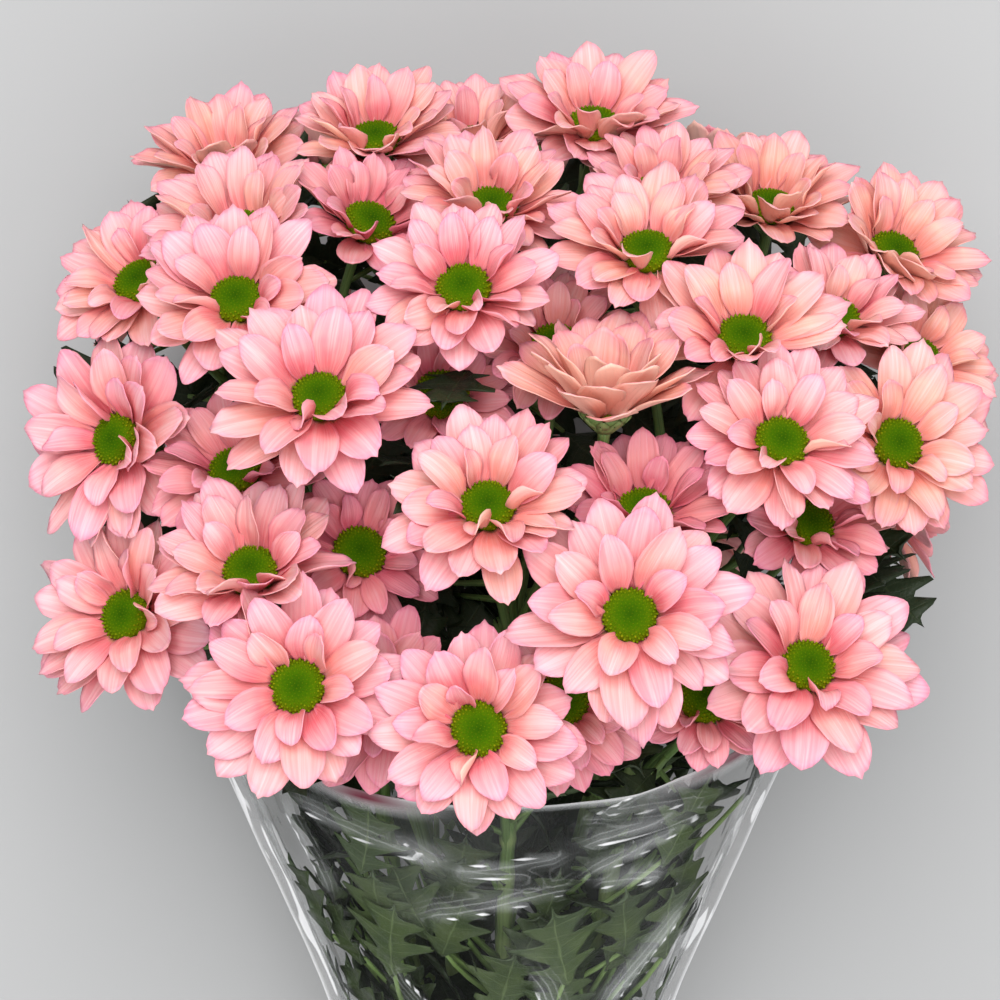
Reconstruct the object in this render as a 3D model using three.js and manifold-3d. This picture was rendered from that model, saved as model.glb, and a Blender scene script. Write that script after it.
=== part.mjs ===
// A florist's bunch of spray chrysanthemums in a clear film sleeve, lying on a table.
// Six cut flowering stems are held by a rubber band. Every flower head is a ring of pink
// ray petals round a green disc, and the disc is one body with its stalk, stem and leaves.
// Millimetres and degrees, +Z up.
import * as THREE from "three";
import { mergeVertices } from "three/addons/utils/BufferGeometryUtils.js";
import Module from "manifold-3d";

const wasm = await Module();
wasm.setup();

// The bunch's own frame: X to the right, Y along the stems towards the flowers, Z towards
// the side that faces up when it lies down. Its origin is the centre of the sleeve's mouth.
const LEAN = 12.6; // the stems rise this much towards the head as the bunch lies
const MOUTH_HEIGHT = 96; // the mouth's centre above the table
const CUT_END_Y = -400;
const BAND_Y = -335;

// Flower heads are placed as seen from the front and a little above, as the bunch is shown.
const SIGHT_RISE = 16; // the line of sight comes down at this angle to the stems' square
const SIGHT_DISTANCE = 1200; // from the eye to the head's centre
const SIGHT_DROP = 10; // the eye looks this far below the head's centre
const HEAD_CENTRE_Y = 90;

// One flower head
const COLLAR_SIDES = 8;
const SMALL_WIDTH = 59; // narrower heads have one petal fewer in each ring,
const BACK = -25; // and so do those that are further back than this
const COLLAR_RADII = [9.2, 10.8, 9.2]; // the three edges of the collar that carries the petals
const COLLAR_HEIGHTS = [0, 1.7, 3.4];
const DISC_GAP = 0.3; // all round between the disc and the collar
const DISC_RIM = 4.3;
const DISC_TOP = 6.2;
const CALYX_BASE = -0.9;
const STALK_TOP = -8;
const STALK_RADIUS = 1.6;

// The petals' layers, from the outermost: lift from the flower's plane, length and width
// as shares of the outer petal's length, and how many are left out of a full ring.
const LAYERS = [
  { lift: 15, length: 1, width: 0.62, curl: -6, gaps: 0 },
  { lift: 32, length: 0.86, width: 0.6, curl: -8, gaps: 0 },
  { lift: 54, length: 0.56, width: 0.46, curl: -14, gaps: 4 },
];
const DROOP = 8; // petals under the disc hang by so much, and those above it stand up
const RIDGE = 0.85; // a petal's thickness along its middle
const WIDEST = 0.57; // where a petal is widest, as a share of its length
const SHOULDER = 0.96; // where its blunt tip begins
const BLUNT = 0.4; // the tip's width as a share of the petal's
const CLEAR = 0.4; // room kept between one petal and everything else
const PRESS = 6; // how far a petal may be pressed back by the table

// Stems, as the bunch holds them: angle round the bunch and where each ends in the head
const STEM_RADIUS = 3.2;
const STEM_TIP_RADIUS = 2.3;
const STEM_SIDES = 5;
const STEM_SEGMENTS = 7;
const STEM_RING = 6.7; // from the bunch's axis to each outer stem at the band
const SPRAYS = {
  middle: { angle: 0, ring: 0, end: [0, 128, -8] },
  front: { angle: 90, ring: 1, end: [4, 42, 58] },
  left: { angle: 162, ring: 1, end: [-52, 48, 34] },
  right: { angle: 18, ring: 1, end: [54, 48, 34] },
  back_left: { angle: 234, ring: 1, end: [-58, 56, -30] },
  back_right: { angle: 306, ring: 1, end: [58, 56, -30] },
};

// Flower heads: spray, then across, above and towards the viewer from the head's centre,
// then how far each is turned to the right and lifted up from facing the viewer, then its
// width, and how much further its petals close up into a cup.
const HEADS = [
  ["middle", 31, 116, 15, 5, 62, 65, 14],
  ["middle", -43, 112, 25, 0, 60, 59, 14],
  ["back_left", -93, 106, 14, -12, 66, 63, 12],
  ["left", -88, 78, 50, -15, 52, 58, 6],
  ["left", -46, 82, 52, 25, 38, 57, 4],
  ["front", -4, 88, 62, 5, 52, 60, 9],
  ["right", 49, 72, 80, 0, 42, 65, 3],
  ["middle", 58, 90, 40, 5, 58, 56, 10],
  ["right", 92, 88, 20, 10, 62, 56, 13],
  ["back_right", 134, 74, 20, 25, 43, 62, 6],
  ["back_left", -123, 64, 45, -25, 35, 63, 0],
  ["left", -90, 56, 80, -3, 33, 67, 3],
  ["front", -13, 60, 100, -3, 32, 61, 3],
  ["right", 84, 46, 88, 2, 40, 68, 3],
  ["right", 112, 50, 50, 15, 45, 58, 4],
  ["left", -62, 23, 112, -3, 33, 73, 0],
  ["back_left", -129, 10, 58, -33, 8, 72, -2],
  ["front", -21, 24, 84, 10, 25, 52, 0],
  ["front", 18, 40, 76, 0, 35, 56, 2],
  ["front", 35, 20, 104, 5, 64, 64, 19],
  ["right", 94, 8, 100, 12, 28, 64, 0],
  ["back_right", 133, 8, 62, 18, 18, 67, 0],
  ["back_right", 144, 36, 28, 30, 30, 60, 0],
  ["front", -5, -14, 118, 0, 33, 65, 3],
  ["front", 48, -16, 98, 3, 42, 61, 4],
  ["left", -90, -2, 76, -10, 38, 60, 0],
  ["left", -85, -36, 102, -8, 35, 65, 3],
  ["left", -49, -29, 80, 12, 22, 55, 0],
  ["back_left", -126, -50, 62, -28, 15, 71, -2],
  ["left", -69, -74, 112, -5, 12, 69, 0],
  ["front", -8, -88, 118, 0, 6, 66, 0],
  ["front", 43, -50, 124, 3, 14, 73, 0],
  ["right", 103, -68, 92, 14, 28, 73, -2],
  ["right", 103, -20, 68, 20, 35, 58, 0],
  ["right", 68, -79, 84, 10, 30, 50, 0],
  ["front", 20, -78, 90, 10, 8, 60, 0],
  ["left", -40, -78, 86, -10, 5, 60, 0],
  ["middle", -10, 109, 5, -5, 60, 58, 12],
  ["middle", -58, 100, -42, -155, 62, 60, 8],
  ["middle", 10, 106, -48, 180, 60, 61, 8],
  ["middle", 74, 92, -42, 150, 62, 60, 8],
  ["back_left", -118, 60, -30, -110, 35, 60, 0],
  ["back_left", -66, 46, -92, -150, 32, 62, 0],
  ["middle", 4, 50, -92, 180, 30, 62, 0],
  ["back_right", 70, 42, -92, 150, 32, 62, 0],
  ["back_right", 126, 58, -34, 115, 35, 60, 0],
  ["back_left", -124, -8, -30, -110, 15, 62, 0],
  ["back_left", -58, -18, -94, -155, 15, 62, 0],
  ["back_right", 6, -16, -96, 178, 12, 62, 0],
  ["back_right", 66, -20, -94, 150, 14, 62, 0],
  ["back_right", 128, -10, -26, 105, 15, 62, 0],
];
const STALK_RISE = 85; // a stalk leaves its stem about this far below its flower
const LOWEST_BRANCH_Y = -75;

// The sleeve: an open cone of clear film, wider and higher at its two side seams
const SLEEVE_SIDES = 24;
const SLEEVE_WALL = 0.6;
const SLEEVE_ROWS = [
  // distance along the bunch and radius, from the mouth down
  { y: 12, radius: 104 },
  { y: -97, radius: 64 },
  { y: -180, radius: 36 },
  { y: -300, radius: 27 },
];
const MOUTH_SWELL = 8; // the mouth stands out and up by this at the seams

// Leaves: spray, angle round the bunch, where the blade or its stalk begins along the
// bunch, length, and slant. Those on the film lie along its inside and slant sideways.
const FILM_LEAVES = [
  ["right", 50, -168, 40, -19],
  ["left", 140, -168, 47, 9],
  ["back_left", 230, -168, 44, -4],
  ["back_right", 320, -168, 43, -11],
  ["right", 18, -128, 50, 10],
  ["front", 90, -128, 47, -15],
  ["left", 162, -128, 52, 1],
  ["back_left", 234, -128, 47, -6],
  ["back_right", 306, -128, 48, 1],
  ["right", 32, -88, 53, 21],
  ["front", 67, -88, 53, 17],
  ["left", 127, -88, 52, -16],
  ["back_left", 202, -88, 56, 11],
  ["back_right", 292, -88, 56, 5],
  ["right", 0, -45, 53, 18],
  ["front", 56, -45, 54, -20],
  ["left", 128, -45, 51, -21],
  ["back_left", 216, -45, 51, 20],
  ["back_right", 272, -45, 53, 8],
];
const LEAF_FILM_GAP = 0.6;
const LEAF_STALK_RISE = 26; // a leaf's stalk leaves the stem this far below its blade

// and the others stand out from the stems among the flowers, and slant outwards
const OPEN_LEAVES = [
  ["right", 15, -20, 49, 43],
  ["front", 66, -20, 43, 51],
  ["left", 169, -20, 47, 58],
  ["back_left", 221, -20, 46, 56],
  ["back_right", 272, -20, 47, 58],
  ["right", 40, 12, 43, 57],
  ["front", 106, 12, 45, 56],
  ["left", 143, 12, 42, 59],
  ["back_left", 199, 12, 45, 49],
  ["back_right", 312, 12, 35, 43],
];
const OPEN_LEAF_STALK = 10;
const OPEN_LEAF_ARCH = 0.18;
const LEAF_RIB_DEPTH = 1.6; // the rib lies this far below the edges
const LEAF_THICKNESS = 1;
const LEAF_STALK_DEPTH = 2.2;
// One side of a leaf's outline: along its length and out from its rib, as shares of length
const LEAF_OUTLINE = [
  [0.08, 0.03],
  [0.3, 0.3],
  [0.42, 0.15],
  [0.62, 0.33],
  [0.7, 0.16],
  [0.86, 0.19],
];
const LEAF_RIB = [0.24, 0.54, 0.8];

const PINK = new THREE.MeshStandardMaterial({ color: 0xf0a6a2, roughness: 0.6, metalness: 0 });
const GREEN = new THREE.MeshStandardMaterial({ color: 0x4f7a3a, roughness: 0.65, metalness: 0 });
const FILM = new THREE.MeshStandardMaterial({
  color: 0xe8eef0,
  roughness: 0.08,
  metalness: 0,
  transparent: true,
  opacity: 0.3,
});
const RUBBER = new THREE.MeshStandardMaterial({ color: 0xc9a46a, roughness: 0.7, metalness: 0 });

const V = (x, y, z) => new THREE.Vector3(x, y, z);
const rad = THREE.MathUtils.degToRad;
const mix = (a, b, t) => a.clone().lerp(b, t);

// Seeded random numbers, so that every build is the same bunch
function seeded(seed) {
  let state = seed;
  return (low, high) => {
    state = (state + 0x6d2b79f5) | 0;
    let t = Math.imul(state ^ (state >>> 15), 1 | state);
    t = (t + Math.imul(t ^ (t >>> 7), 61 | t)) ^ t;
    return low + (((t ^ (t >>> 14)) >>> 0) / 4294967296) * (high - low);
  };
}

// The table in the bunch's frame
const TABLE_UP = V(0, Math.sin(rad(LEAN)), Math.cos(rad(LEAN)));
const aboveTable = (p) => p.dot(TABLE_UP) + MOUTH_HEIGHT;
const tableZ = (y) => -(MOUTH_HEIGHT + y * TABLE_UP.y) / TABLE_UP.z;

// Where a flower head sits and which way it faces
const SIGHT_UP = V(0, Math.cos(rad(SIGHT_RISE)), -Math.sin(rad(SIGHT_RISE)));
const SIGHT_BACK = V(0, Math.sin(rad(SIGHT_RISE)), Math.cos(rad(SIGHT_RISE)));

function headFrame([spray, across, above, towards, turn, lift, width, cup], index) {
  const nearer = (SIGHT_DISTANCE - towards) / SIGHT_DISTANCE;
  const centre = V(across * nearer, HEAD_CENTRE_Y, 0)
    .addScaledVector(SIGHT_UP, (above + SIGHT_DROP) * nearer - SIGHT_DROP)
    .addScaledVector(SIGHT_BACK, towards);
  const facing = V(Math.sin(rad(turn)) * Math.cos(rad(lift)), 0, 0)
    .addScaledVector(SIGHT_UP, Math.sin(rad(lift)))
    .addScaledVector(SIGHT_BACK, Math.cos(rad(turn)) * Math.cos(rad(lift)));
  const spin = new THREE.Quaternion().setFromAxisAngle(V(0, 0, 1), rad(index * 17));
  const quaternion = new THREE.Quaternion().setFromUnitVectors(V(0, 0, 1), facing).multiply(spin);
  const matrix = new THREE.Matrix4().compose(centre, quaternion, V(1, 1, 1));
  const name = "bloom_" + String(index + 1).padStart(2, "0");
  const fewer = width < SMALL_WIDTH || towards < BACK;
  const sides = fewer ? COLLAR_SIDES - 1 : COLLAR_SIDES;
  return { name, spray, centre, facing, quaternion, matrix, width, cup, index, sides };
}

// Triangles already standing in the bunch, kept in cells so that a new piece can be tested
const CELL = 15;

class Crowd {
  cells = new Map();

  keysOf(t) {
    const low = t[0].clone().min(t[1]).min(t[2]);
    const high = t[0].clone().max(t[1]).max(t[2]);
    const keys = [];
    for (let x = Math.floor(low.x / CELL); x <= Math.floor(high.x / CELL); x++)
      for (let y = Math.floor(low.y / CELL); y <= Math.floor(high.y / CELL); y++)
        for (let z = Math.floor(low.z / CELL); z <= Math.floor(high.z / CELL); z++)
          keys.push(x + "," + y + "," + z);
    return keys;
  }

  add(triangles, owner) {
    for (const t of triangles)
      for (const key of this.keysOf(t)) {
        if (!this.cells.has(key)) this.cells.set(key, []);
        this.cells.get(key).push({ t, owner });
      }
  }

  meets(triangles, owner) {
    return triangles.some((t) =>
      this.keysOf(t).some((key) =>
        (this.cells.get(key) || []).some((o) => o.owner !== owner && trianglesMeet(t, o.t)),
      ),
    );
  }
}

function segmentMeets(a, b, [p, q, r]) {
  const edge1 = q.clone().sub(p);
  const edge2 = r.clone().sub(p);
  const way = b.clone().sub(a);
  const h = way.clone().cross(edge2);
  const det = edge1.dot(h);
  if (Math.abs(det) < 1e-9) return false;
  const s = a.clone().sub(p);
  const u = s.dot(h) / det;
  if (u < 0 || u > 1) return false;
  const k = s.cross(edge1);
  const v = way.dot(k) / det;
  if (v < 0 || u + v > 1) return false;
  const t = edge2.dot(k) / det;
  return t >= 0 && t <= 1;
}

function trianglesMeet(s, t) {
  for (const axis of ["x", "y", "z"]) {
    if (Math.min(s[0][axis], s[1][axis], s[2][axis]) > Math.max(t[0][axis], t[1][axis], t[2][axis]))
      return false;
    if (Math.max(s[0][axis], s[1][axis], s[2][axis]) < Math.min(t[0][axis], t[1][axis], t[2][axis]))
      return false;
  }
  return [0, 1, 2].some(
    (i) => segmentMeets(s[i], s[(i + 1) % 3], t) || segmentMeets(t[i], t[(i + 1) % 3], s),
  );
}

// A mesh's geometry from corner triples
function geometryOf(triangles) {
  const positions = new Float32Array(triangles.flat().flatMap((p) => p.toArray()));
  const geometry = new THREE.BufferGeometry();
  geometry.setAttribute("position", new THREE.BufferAttribute(positions, 3));
  geometry.computeVertexNormals();
  return geometry;
}

function trianglesOf(geometry) {
  const flat = geometry.index ? geometry.toNonIndexed() : geometry;
  const position = flat.getAttribute("position");
  const corner = (i) => new THREE.Vector3().fromBufferAttribute(position, i);
  return Array.from({ length: position.count / 3 }, (_, i) => [
    corner(3 * i),
    corner(3 * i + 1),
    corner(3 * i + 2),
  ]);
}

function solidOf(triangles) {
  const geometry = geometryOf(triangles);
  geometry.deleteAttribute("normal");
  const merged = mergeVertices(geometry, 1e-3);
  const mesh = new wasm.Mesh({
    numProp: 3,
    vertProperties: merged.attributes.position.array,
    triVerts: new Uint32Array(merged.index.array),
  });
  return new wasm.Manifold(mesh);
}

function geometryOfSolid(solid) {
  const mesh = solid.getMesh();
  const geometry = new THREE.BufferGeometry();
  geometry.setAttribute("position", new THREE.BufferAttribute(mesh.vertProperties, 3));
  geometry.setIndex(new THREE.BufferAttribute(mesh.triVerts, 1));
  geometry.computeVertexNormals();
  return geometry;
}

// The flower's disc, calyx and stalk, down to its branching point, as one closed body
function stalkTriangles(head, from, along) {
  const around = (sides, radius, height) =>
    Array.from({ length: sides }, (_, i) => {
      const turn = (i * 2 * Math.PI) / sides;
      const p = V(radius * Math.cos(turn), radius * Math.sin(turn), height);
      return p.applyMatrix4(head.matrix);
    });
  const sides = head.sides;
  const discRadius = COLLAR_RADII[0] - DISC_GAP / Math.cos(Math.PI / sides);
  const rim = around(sides, discRadius, DISC_RIM);
  const calyx = around(sides, discRadius, CALYX_BASE);
  const top = around(1, 0, DISC_TOP)[0];
  const base = around(1, 0, STALK_TOP)[0];
  const neck = around(3, STALK_RADIUS, STALK_TOP);

  const reach = base.distanceTo(from);
  const curve = new THREE.CubicBezierCurve3(
    from,
    from.clone().addScaledVector(along, 0.36 * reach),
    base.clone().addScaledVector(head.facing, -0.36 * reach),
    base,
  );
  const rings = [neck];
  const side = V(1, 0, 0).applyQuaternion(head.quaternion);
  let before = head.facing;
  for (const t of [0.66, 0.33, 0]) {
    const tangent = curve.getTangent(t);
    side.applyQuaternion(new THREE.Quaternion().setFromUnitVectors(before, tangent));
    before = tangent;
    rings.push(ringAbout(curve.getPoint(t), side, tangent.clone().cross(side), STALK_RADIUS, 3));
  }

  const triangles = tubeTriangles(rings.reverse(), { openTop: true });
  for (let i = 0; i < sides; i++) {
    const j = (i + 1) % sides;
    triangles.push([calyx[i], calyx[j], rim[j]], [calyx[i], rim[j], rim[i]], [rim[i], rim[j], top]);
    const corner = neck[Math.floor(((i + 0.5) * 3) / sides + 0.5) % 3];
    triangles.push([corner, calyx[j], calyx[i]]);
    const next = neck[Math.floor(((i + 1.5) * 3) / sides + 0.5) % 3];
    if (next !== corner) triangles.push([corner, next, calyx[j]]);
  }
  return triangles;
}

// A ring of corners about a point, in the plane of two directions
function ringAbout(centre, side, other, radius, sides) {
  return Array.from({ length: sides }, (_, i) => {
    const turn = (i * 2 * Math.PI) / sides;
    return centre
      .clone()
      .addScaledVector(side, radius * Math.cos(turn))
      .addScaledVector(other, radius * Math.sin(turn));
  });
}

// Rings of corners, first to last, joined into a closed tube
function tubeTriangles(rings, { openTop = false } = {}) {
  const sides = rings[0].length;
  const triangles = [];
  for (let k = 0; k + 1 < rings.length; k++)
    for (let i = 0; i < sides; i++) {
      const j = (i + 1) % sides;
      const [low, high] = [rings[k], rings[k + 1]];
      triangles.push([low[i], low[j], high[j]], [low[i], high[j], high[i]]);
    }
  for (let i = 1; i + 1 < sides; i++) {
    const [low, high] = [rings[0], rings.at(-1)];
    triangles.push([low[0], low[i + 1], low[i]]);
    if (!openTop) triangles.push([high[0], high[i], high[i + 1]]);
  }
  return triangles;
}

// The line that a main stem follows, from its cut end into the head
function stemCurve({ angle, ring, end }) {
  const at = (radius, y) =>
    V(ring * radius * Math.cos(rad(angle)), y, ring * radius * Math.sin(rad(angle)));
  return new THREE.CatmullRomCurve3([
    at(STEM_RING, CUT_END_Y),
    at(STEM_RING, BAND_Y),
    at(17, -185),
    at(32, -95),
    V(...end),
  ]);
}

function stemTriangles(curve) {
  const rings = [];
  const side = V(1, 0, 0);
  let before = V(0, 1, 0);
  for (let k = 0; k <= STEM_SEGMENTS; k++) {
    const t = k / STEM_SEGMENTS;
    const tangent = curve.getTangentAt(t);
    side.applyQuaternion(new THREE.Quaternion().setFromUnitVectors(before, tangent));
    before = tangent;
    const other = tangent.clone().cross(side);
    const radius = STEM_RADIUS + (STEM_TIP_RADIUS - STEM_RADIUS) * t;
    rings.push(ringAbout(curve.getPointAt(t), side, other, radius, STEM_SIDES));
  }
  return tubeTriangles(rings);
}

// Where along a stem a given distance along the bunch is reached
function stemAtY(curve, y) {
  let [low, high] = [0, 1];
  for (let i = 0; i < 30; i++) {
    const middle = (low + high) / 2;
    if (curve.getPointAt(middle).y < y) low = middle;
    else high = middle;
  }
  return low;
}

// One petal on its triangle of the collar: left and right are the ends of its root, and
// third is the corner above them, or below them for a hanging triangle. grow widens and
// thickens it for the test of its room, and inset leaves off its root, which others share.
function petalTriangles({ left, right, third, above }, turn, spec, head, grow = 0, inset = 0) {
  const out = V(Math.cos(turn), Math.sin(turn), 0);
  const along = V(-Math.sin(turn), Math.cos(turn), 0);
  const slope = (lift) => out.clone().multiplyScalar(Math.cos(lift)).add(V(0, 0, Math.sin(lift)));
  const direction = slope(rad(spec.lift));
  const normal = slope(rad(spec.lift + 90));
  const root = mix(mix(left, right, 0.5), third, 0.3);
  const middle = root.clone().addScaledVector(direction, WIDEST * spec.length);
  const outwards = slope(rad(spec.lift + spec.curl));
  const half = spec.width / 2 + grow;
  const at = (distance, aside) =>
    middle.clone().addScaledVector(outwards, distance).addScaledVector(along, aside);
  const tipSide = BLUNT * half;
  const tipAt = (SHOULDER - WIDEST) * spec.length + grow;
  const tip = spec.pointed
    ? [at((1 - WIDEST) * spec.length + grow, 0)]
    : [at(tipAt, -tipSide), at(tipAt, tipSide)];
  const wings = [at(0, -half), at(0, half)];
  const roots = [mix(left, wings[0], inset), mix(right, wings[1], inset)];
  const outline = [roots[0], wings[0], ...tip, wings[1], roots[1]];
  const crest = root.clone().addScaledVector(direction, 0.5 * spec.length);

  const settle = (p, least) => {
    const q = p.clone().applyMatrix4(head.matrix);
    const height = aboveTable(q);
    if (height < least - PRESS) return null;
    return height < least ? q.addScaledVector(TABLE_UP, least - height) : q;
  };
  const lifted = outline.map((p) => settle(p.clone().addScaledVector(normal, grow), 0));
  const lowered = outline.map((p) => settle(p.clone().addScaledVector(normal, -grow), 0));
  const peak = settle(crest.clone().addScaledVector(normal, RIDGE + grow), RIDGE);
  const corner = settle(mix(third, crest, inset), 0);
  if ([...lifted, ...lowered, peak, corner].includes(null)) return null;

  const triangles = [];
  const rim = above ? [...lifted, corner] : lifted;
  rim.forEach((p, i) => triangles.push([peak, p, rim[(i + 1) % rim.length]]));
  for (let i = 0, j = lowered.length - 1; i < j; i++, j--) {
    if (i === 0 && !above) {
      triangles.push([corner, lowered[j], lowered[1]], [corner, lowered[1], lowered[0]]);
    } else if (i + 1 < j) triangles.push([lowered[i], lowered[j], lowered[i + 1]]);
    if (i + 2 < j) triangles.push([lowered[i + 1], lowered[j], lowered[j - 1]]);
  }
  return triangles;
}

// What a petal may do to keep clear: bend by so much, then come out shorter and bend again
const BENDS = [0, 6, -6, 12, -12, 18, -18, 25, -25, 33, -33];
const SHORTER = [1, 0.86, 0.72, 0.58];

// Corner j of the collar's edge k
function collarCorner(head, k, j) {
  const turn = ((j + k / 2) * 2 * Math.PI) / head.sides;
  const radius = COLLAR_RADII[k];
  return V(radius * Math.cos(turn), radius * Math.sin(turn), COLLAR_HEIGHTS[k]);
}

const placedBy = (head) => (t) => t.map((p) => p.clone().applyMatrix4(head.matrix));

// The collar's outer wall with no petals on it
function collarTriangles(head) {
  const corner = (k, j) => collarCorner(head, k, j);
  const triangles = [];
  for (let k = 0; k < 2; k++)
    for (let j = 0; j < head.sides; j++) {
      triangles.push([corner(k, j), corner(k, j + 1), corner(k + 1, j)]);
      triangles.push([corner(k, j + 1), corner(k + 1, j + 1), corner(k + 1, j)]);
    }
  return triangles.map(placedBy(head));
}

function bloomTriangles(head, crowd) {
  const random = seeded(1000 + head.index);
  const sides = head.sides;
  const step = (2 * Math.PI) / sides;
  const corner = (k, j) => collarCorner(head, k, j);
  const placed = placedBy(head);
  const up = SIGHT_UP.clone().applyQuaternion(head.quaternion.clone().invert());
  const reach = (head.width / 2 - COLLAR_RADII[1]) / Math.cos(rad(LAYERS[0].lift + head.cup));
  const collar = [];
  const petals = [];
  const own = [];

  // The triangle that carries petal j of a layer, as left, right and third corner
  const bases = [
    (j) => ({ left: corner(0, j), right: corner(0, j + 1), third: corner(1, j), above: true }),
    (j) => ({ left: corner(1, j), right: corner(1, j + 1), third: corner(0, j + 1), above: false }),
    (j) => ({ left: corner(2, j), right: corner(2, j + 1), third: corner(1, j + 1), above: false }),
  ];
  for (let k = LAYERS.length - 1; k >= 0; k--) {
    const layer = LAYERS[k];
    const missing = Math.floor(random(0, sides));
    for (let j = 0; j < sides; j++) {
      const base = bases[k](j);
      const turn = (j + [0.5, 1, 1.5][k]) * step;
      const upright = up.x * Math.cos(turn) + up.y * Math.sin(turn);
      const wish = {
        lift: layer.lift + head.cup + DROOP * upright + random(-5, 5),
        length: reach * layer.length * random(0.97, 1.1),
        width: reach * layer.width * random(0.94, 1.06),
        curl: layer.curl + random(-8, 8),
        pointed: k === 2,
      };
      const leftOut = (j * 3 + missing) % sides < layer.gaps - (COLLAR_SIDES - sides);
      const grown = leftOut ? null : clearPetal(base, turn, wish, head, crowd, own);
      if (grown) petals.push(...grown);
      else if (base.above) collar.push(placed([base.left, base.right, base.third]));
      else collar.push(placed([base.third, base.right, base.left]));
    }
  }
  for (let j = 0; j < sides; j++) {
    const [a, b] = [corner(0, j + 1), corner(0, j + 2)];
    const [c, d] = [corner(2, j), corner(2, j + 1)];
    collar.push(placed([corner(1, j), corner(1, j + 1), c]));
    collar.push(placed([b, a, c]), placed([d, b, c]));
  }
  return [...collar, ...petals];
}

// The first way of bending or shortening that leaves the petal clear, or null
function clearPetal(base, turn, wish, head, crowd, own) {
  for (const share of SHORTER)
    for (const bend of BENDS) {
      const spec = {
        ...wish,
        lift: wish.lift + bend,
        length: wish.length * share,
        width: wish.width * Math.sqrt(share),
      };
      if (spec.lift > 78) continue;
      const wide = petalTriangles(base, turn, spec, head, CLEAR);
      if (!wide || crowd.meets(wide, head.name)) continue;
      const outer = petalTriangles(base, turn, spec, head, CLEAR / 2, 0.3);
      if (!outer || own.some((t) => outer.some((s) => trianglesMeet(s, t)))) continue;
      const triangles = petalTriangles(base, turn, spec, head);
      if (!triangles) continue;
      own.push(...petalTriangles(base, turn, spec, head, 0, 0.3));
      crowd.add(triangles, head.name);
      return triangles;
    }
  return null;
}

// The film sleeve, turned from a closed profile and then waved at its mouth
function sleeveGeometry() {
  const outer = SLEEVE_ROWS.map((row) => new THREE.Vector2(row.radius, row.y));
  const inner = SLEEVE_ROWS.map((row) => new THREE.Vector2(row.radius - SLEEVE_WALL, row.y));
  const profile = [...outer.reverse(), ...inner, outer[0].clone()];
  const geometry = new THREE.LatheGeometry(profile, SLEEVE_SIDES);
  const position = geometry.getAttribute("position");
  for (let i = 0; i < position.count; i++) {
    const p = new THREE.Vector3().fromBufferAttribute(position, i);
    if (p.y < SLEEVE_ROWS[0].y - 1) continue;
    const swell = MOUTH_SWELL * Math.cos(2 * Math.atan2(p.z, p.x));
    const radius = Math.hypot(p.x, p.z);
    const wider = (radius + swell) / radius;
    position.setXYZ(i, p.x * wider, p.y + swell, p.z * wider);
  }
  return geometry;
}

// The film's inner radius at an angle and a distance along the bunch, on its flat facets
function filmRadius(angle, y) {
  const step = (2 * Math.PI) / SLEEVE_SIDES;
  const around = THREE.MathUtils.euclideanModulo(angle, step);
  const first = angle - around;
  const radiusAt = (row, k, turn) =>
    row.radius - SLEEVE_WALL + (k === 0 ? MOUTH_SWELL * Math.cos(2 * turn) : 0);
  const heightAt = (row, k, turn) => row.y + (k === 0 ? MOUTH_SWELL * Math.cos(2 * turn) : 0);
  const k = Math.max(0, SLEEVE_ROWS.findIndex((row) => y > row.y) - 1);
  const edge = (turn) => {
    const [high, low] = [SLEEVE_ROWS[k], SLEEVE_ROWS[k + 1]];
    const top = heightAt(high, k, turn);
    const share = (y - low.y) / (top - low.y);
    return THREE.MathUtils.lerp(radiusAt(low, k + 1, turn), radiusAt(high, k, turn), share);
  };
  const [a, b] = [edge(first), edge(first + step)];
  return (a * b * Math.sin(step)) / (a * Math.sin(around) + b * Math.sin(step - around));
}

// A lobed leaf, drawn on a surface given by shares of its length along and across it and
// a distance below it, and its stalk, which is sunk into the stem at a point
function leafTriangles(surface, stemPoint) {
  const tip = surface(1, 0, 0);
  const sides = [-1, 1].map((s) => LEAF_OUTLINE.map(([u, v]) => surface(u, s * v, 0)));
  const rib = LEAF_RIB.map((u) => surface(u, 0, LEAF_RIB_DEPTH));
  const underRib = LEAF_RIB.map((u) => surface(u, 0, LEAF_RIB_DEPTH + LEAF_THICKNESS));
  const keel = surface(LEAF_OUTLINE[0][0], 0, LEAF_STALK_DEPTH);
  const [left, right] = [sides[0][0], sides[1][0]];

  const blade = [];
  const face = (ribPoints, flip) => {
    sides.forEach((side, s) => {
      const edge = [...side, tip];
      const push = (a, b, c) => blade.push((s === 1) === flip ? [a, b, c] : [a, c, b]);
      for (let i = 0; i + 1 < edge.length; i++) {
        push(ribPoints[i >> 1], edge[i], edge[i + 1]);
        if (i % 2 === 1 && i + 2 < edge.length)
          push(ribPoints[i >> 1], edge[i + 1], ribPoints[(i >> 1) + 1]);
      }
    });
  };
  face(rib, false);
  face(underRib, true);
  blade.push([rib[0], right, left], [underRib[0], left, keel], [underRib[0], keel, right]);

  const base = mix(left, right, 0.5);
  const end = [right, left, keel];
  const inStem = end.map((p) => p.clone().sub(base).multiplyScalar(0.7).add(stemPoint));
  return [...blade, ...tubeTriangles([inStem, end], { openTop: true })];
}

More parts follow.
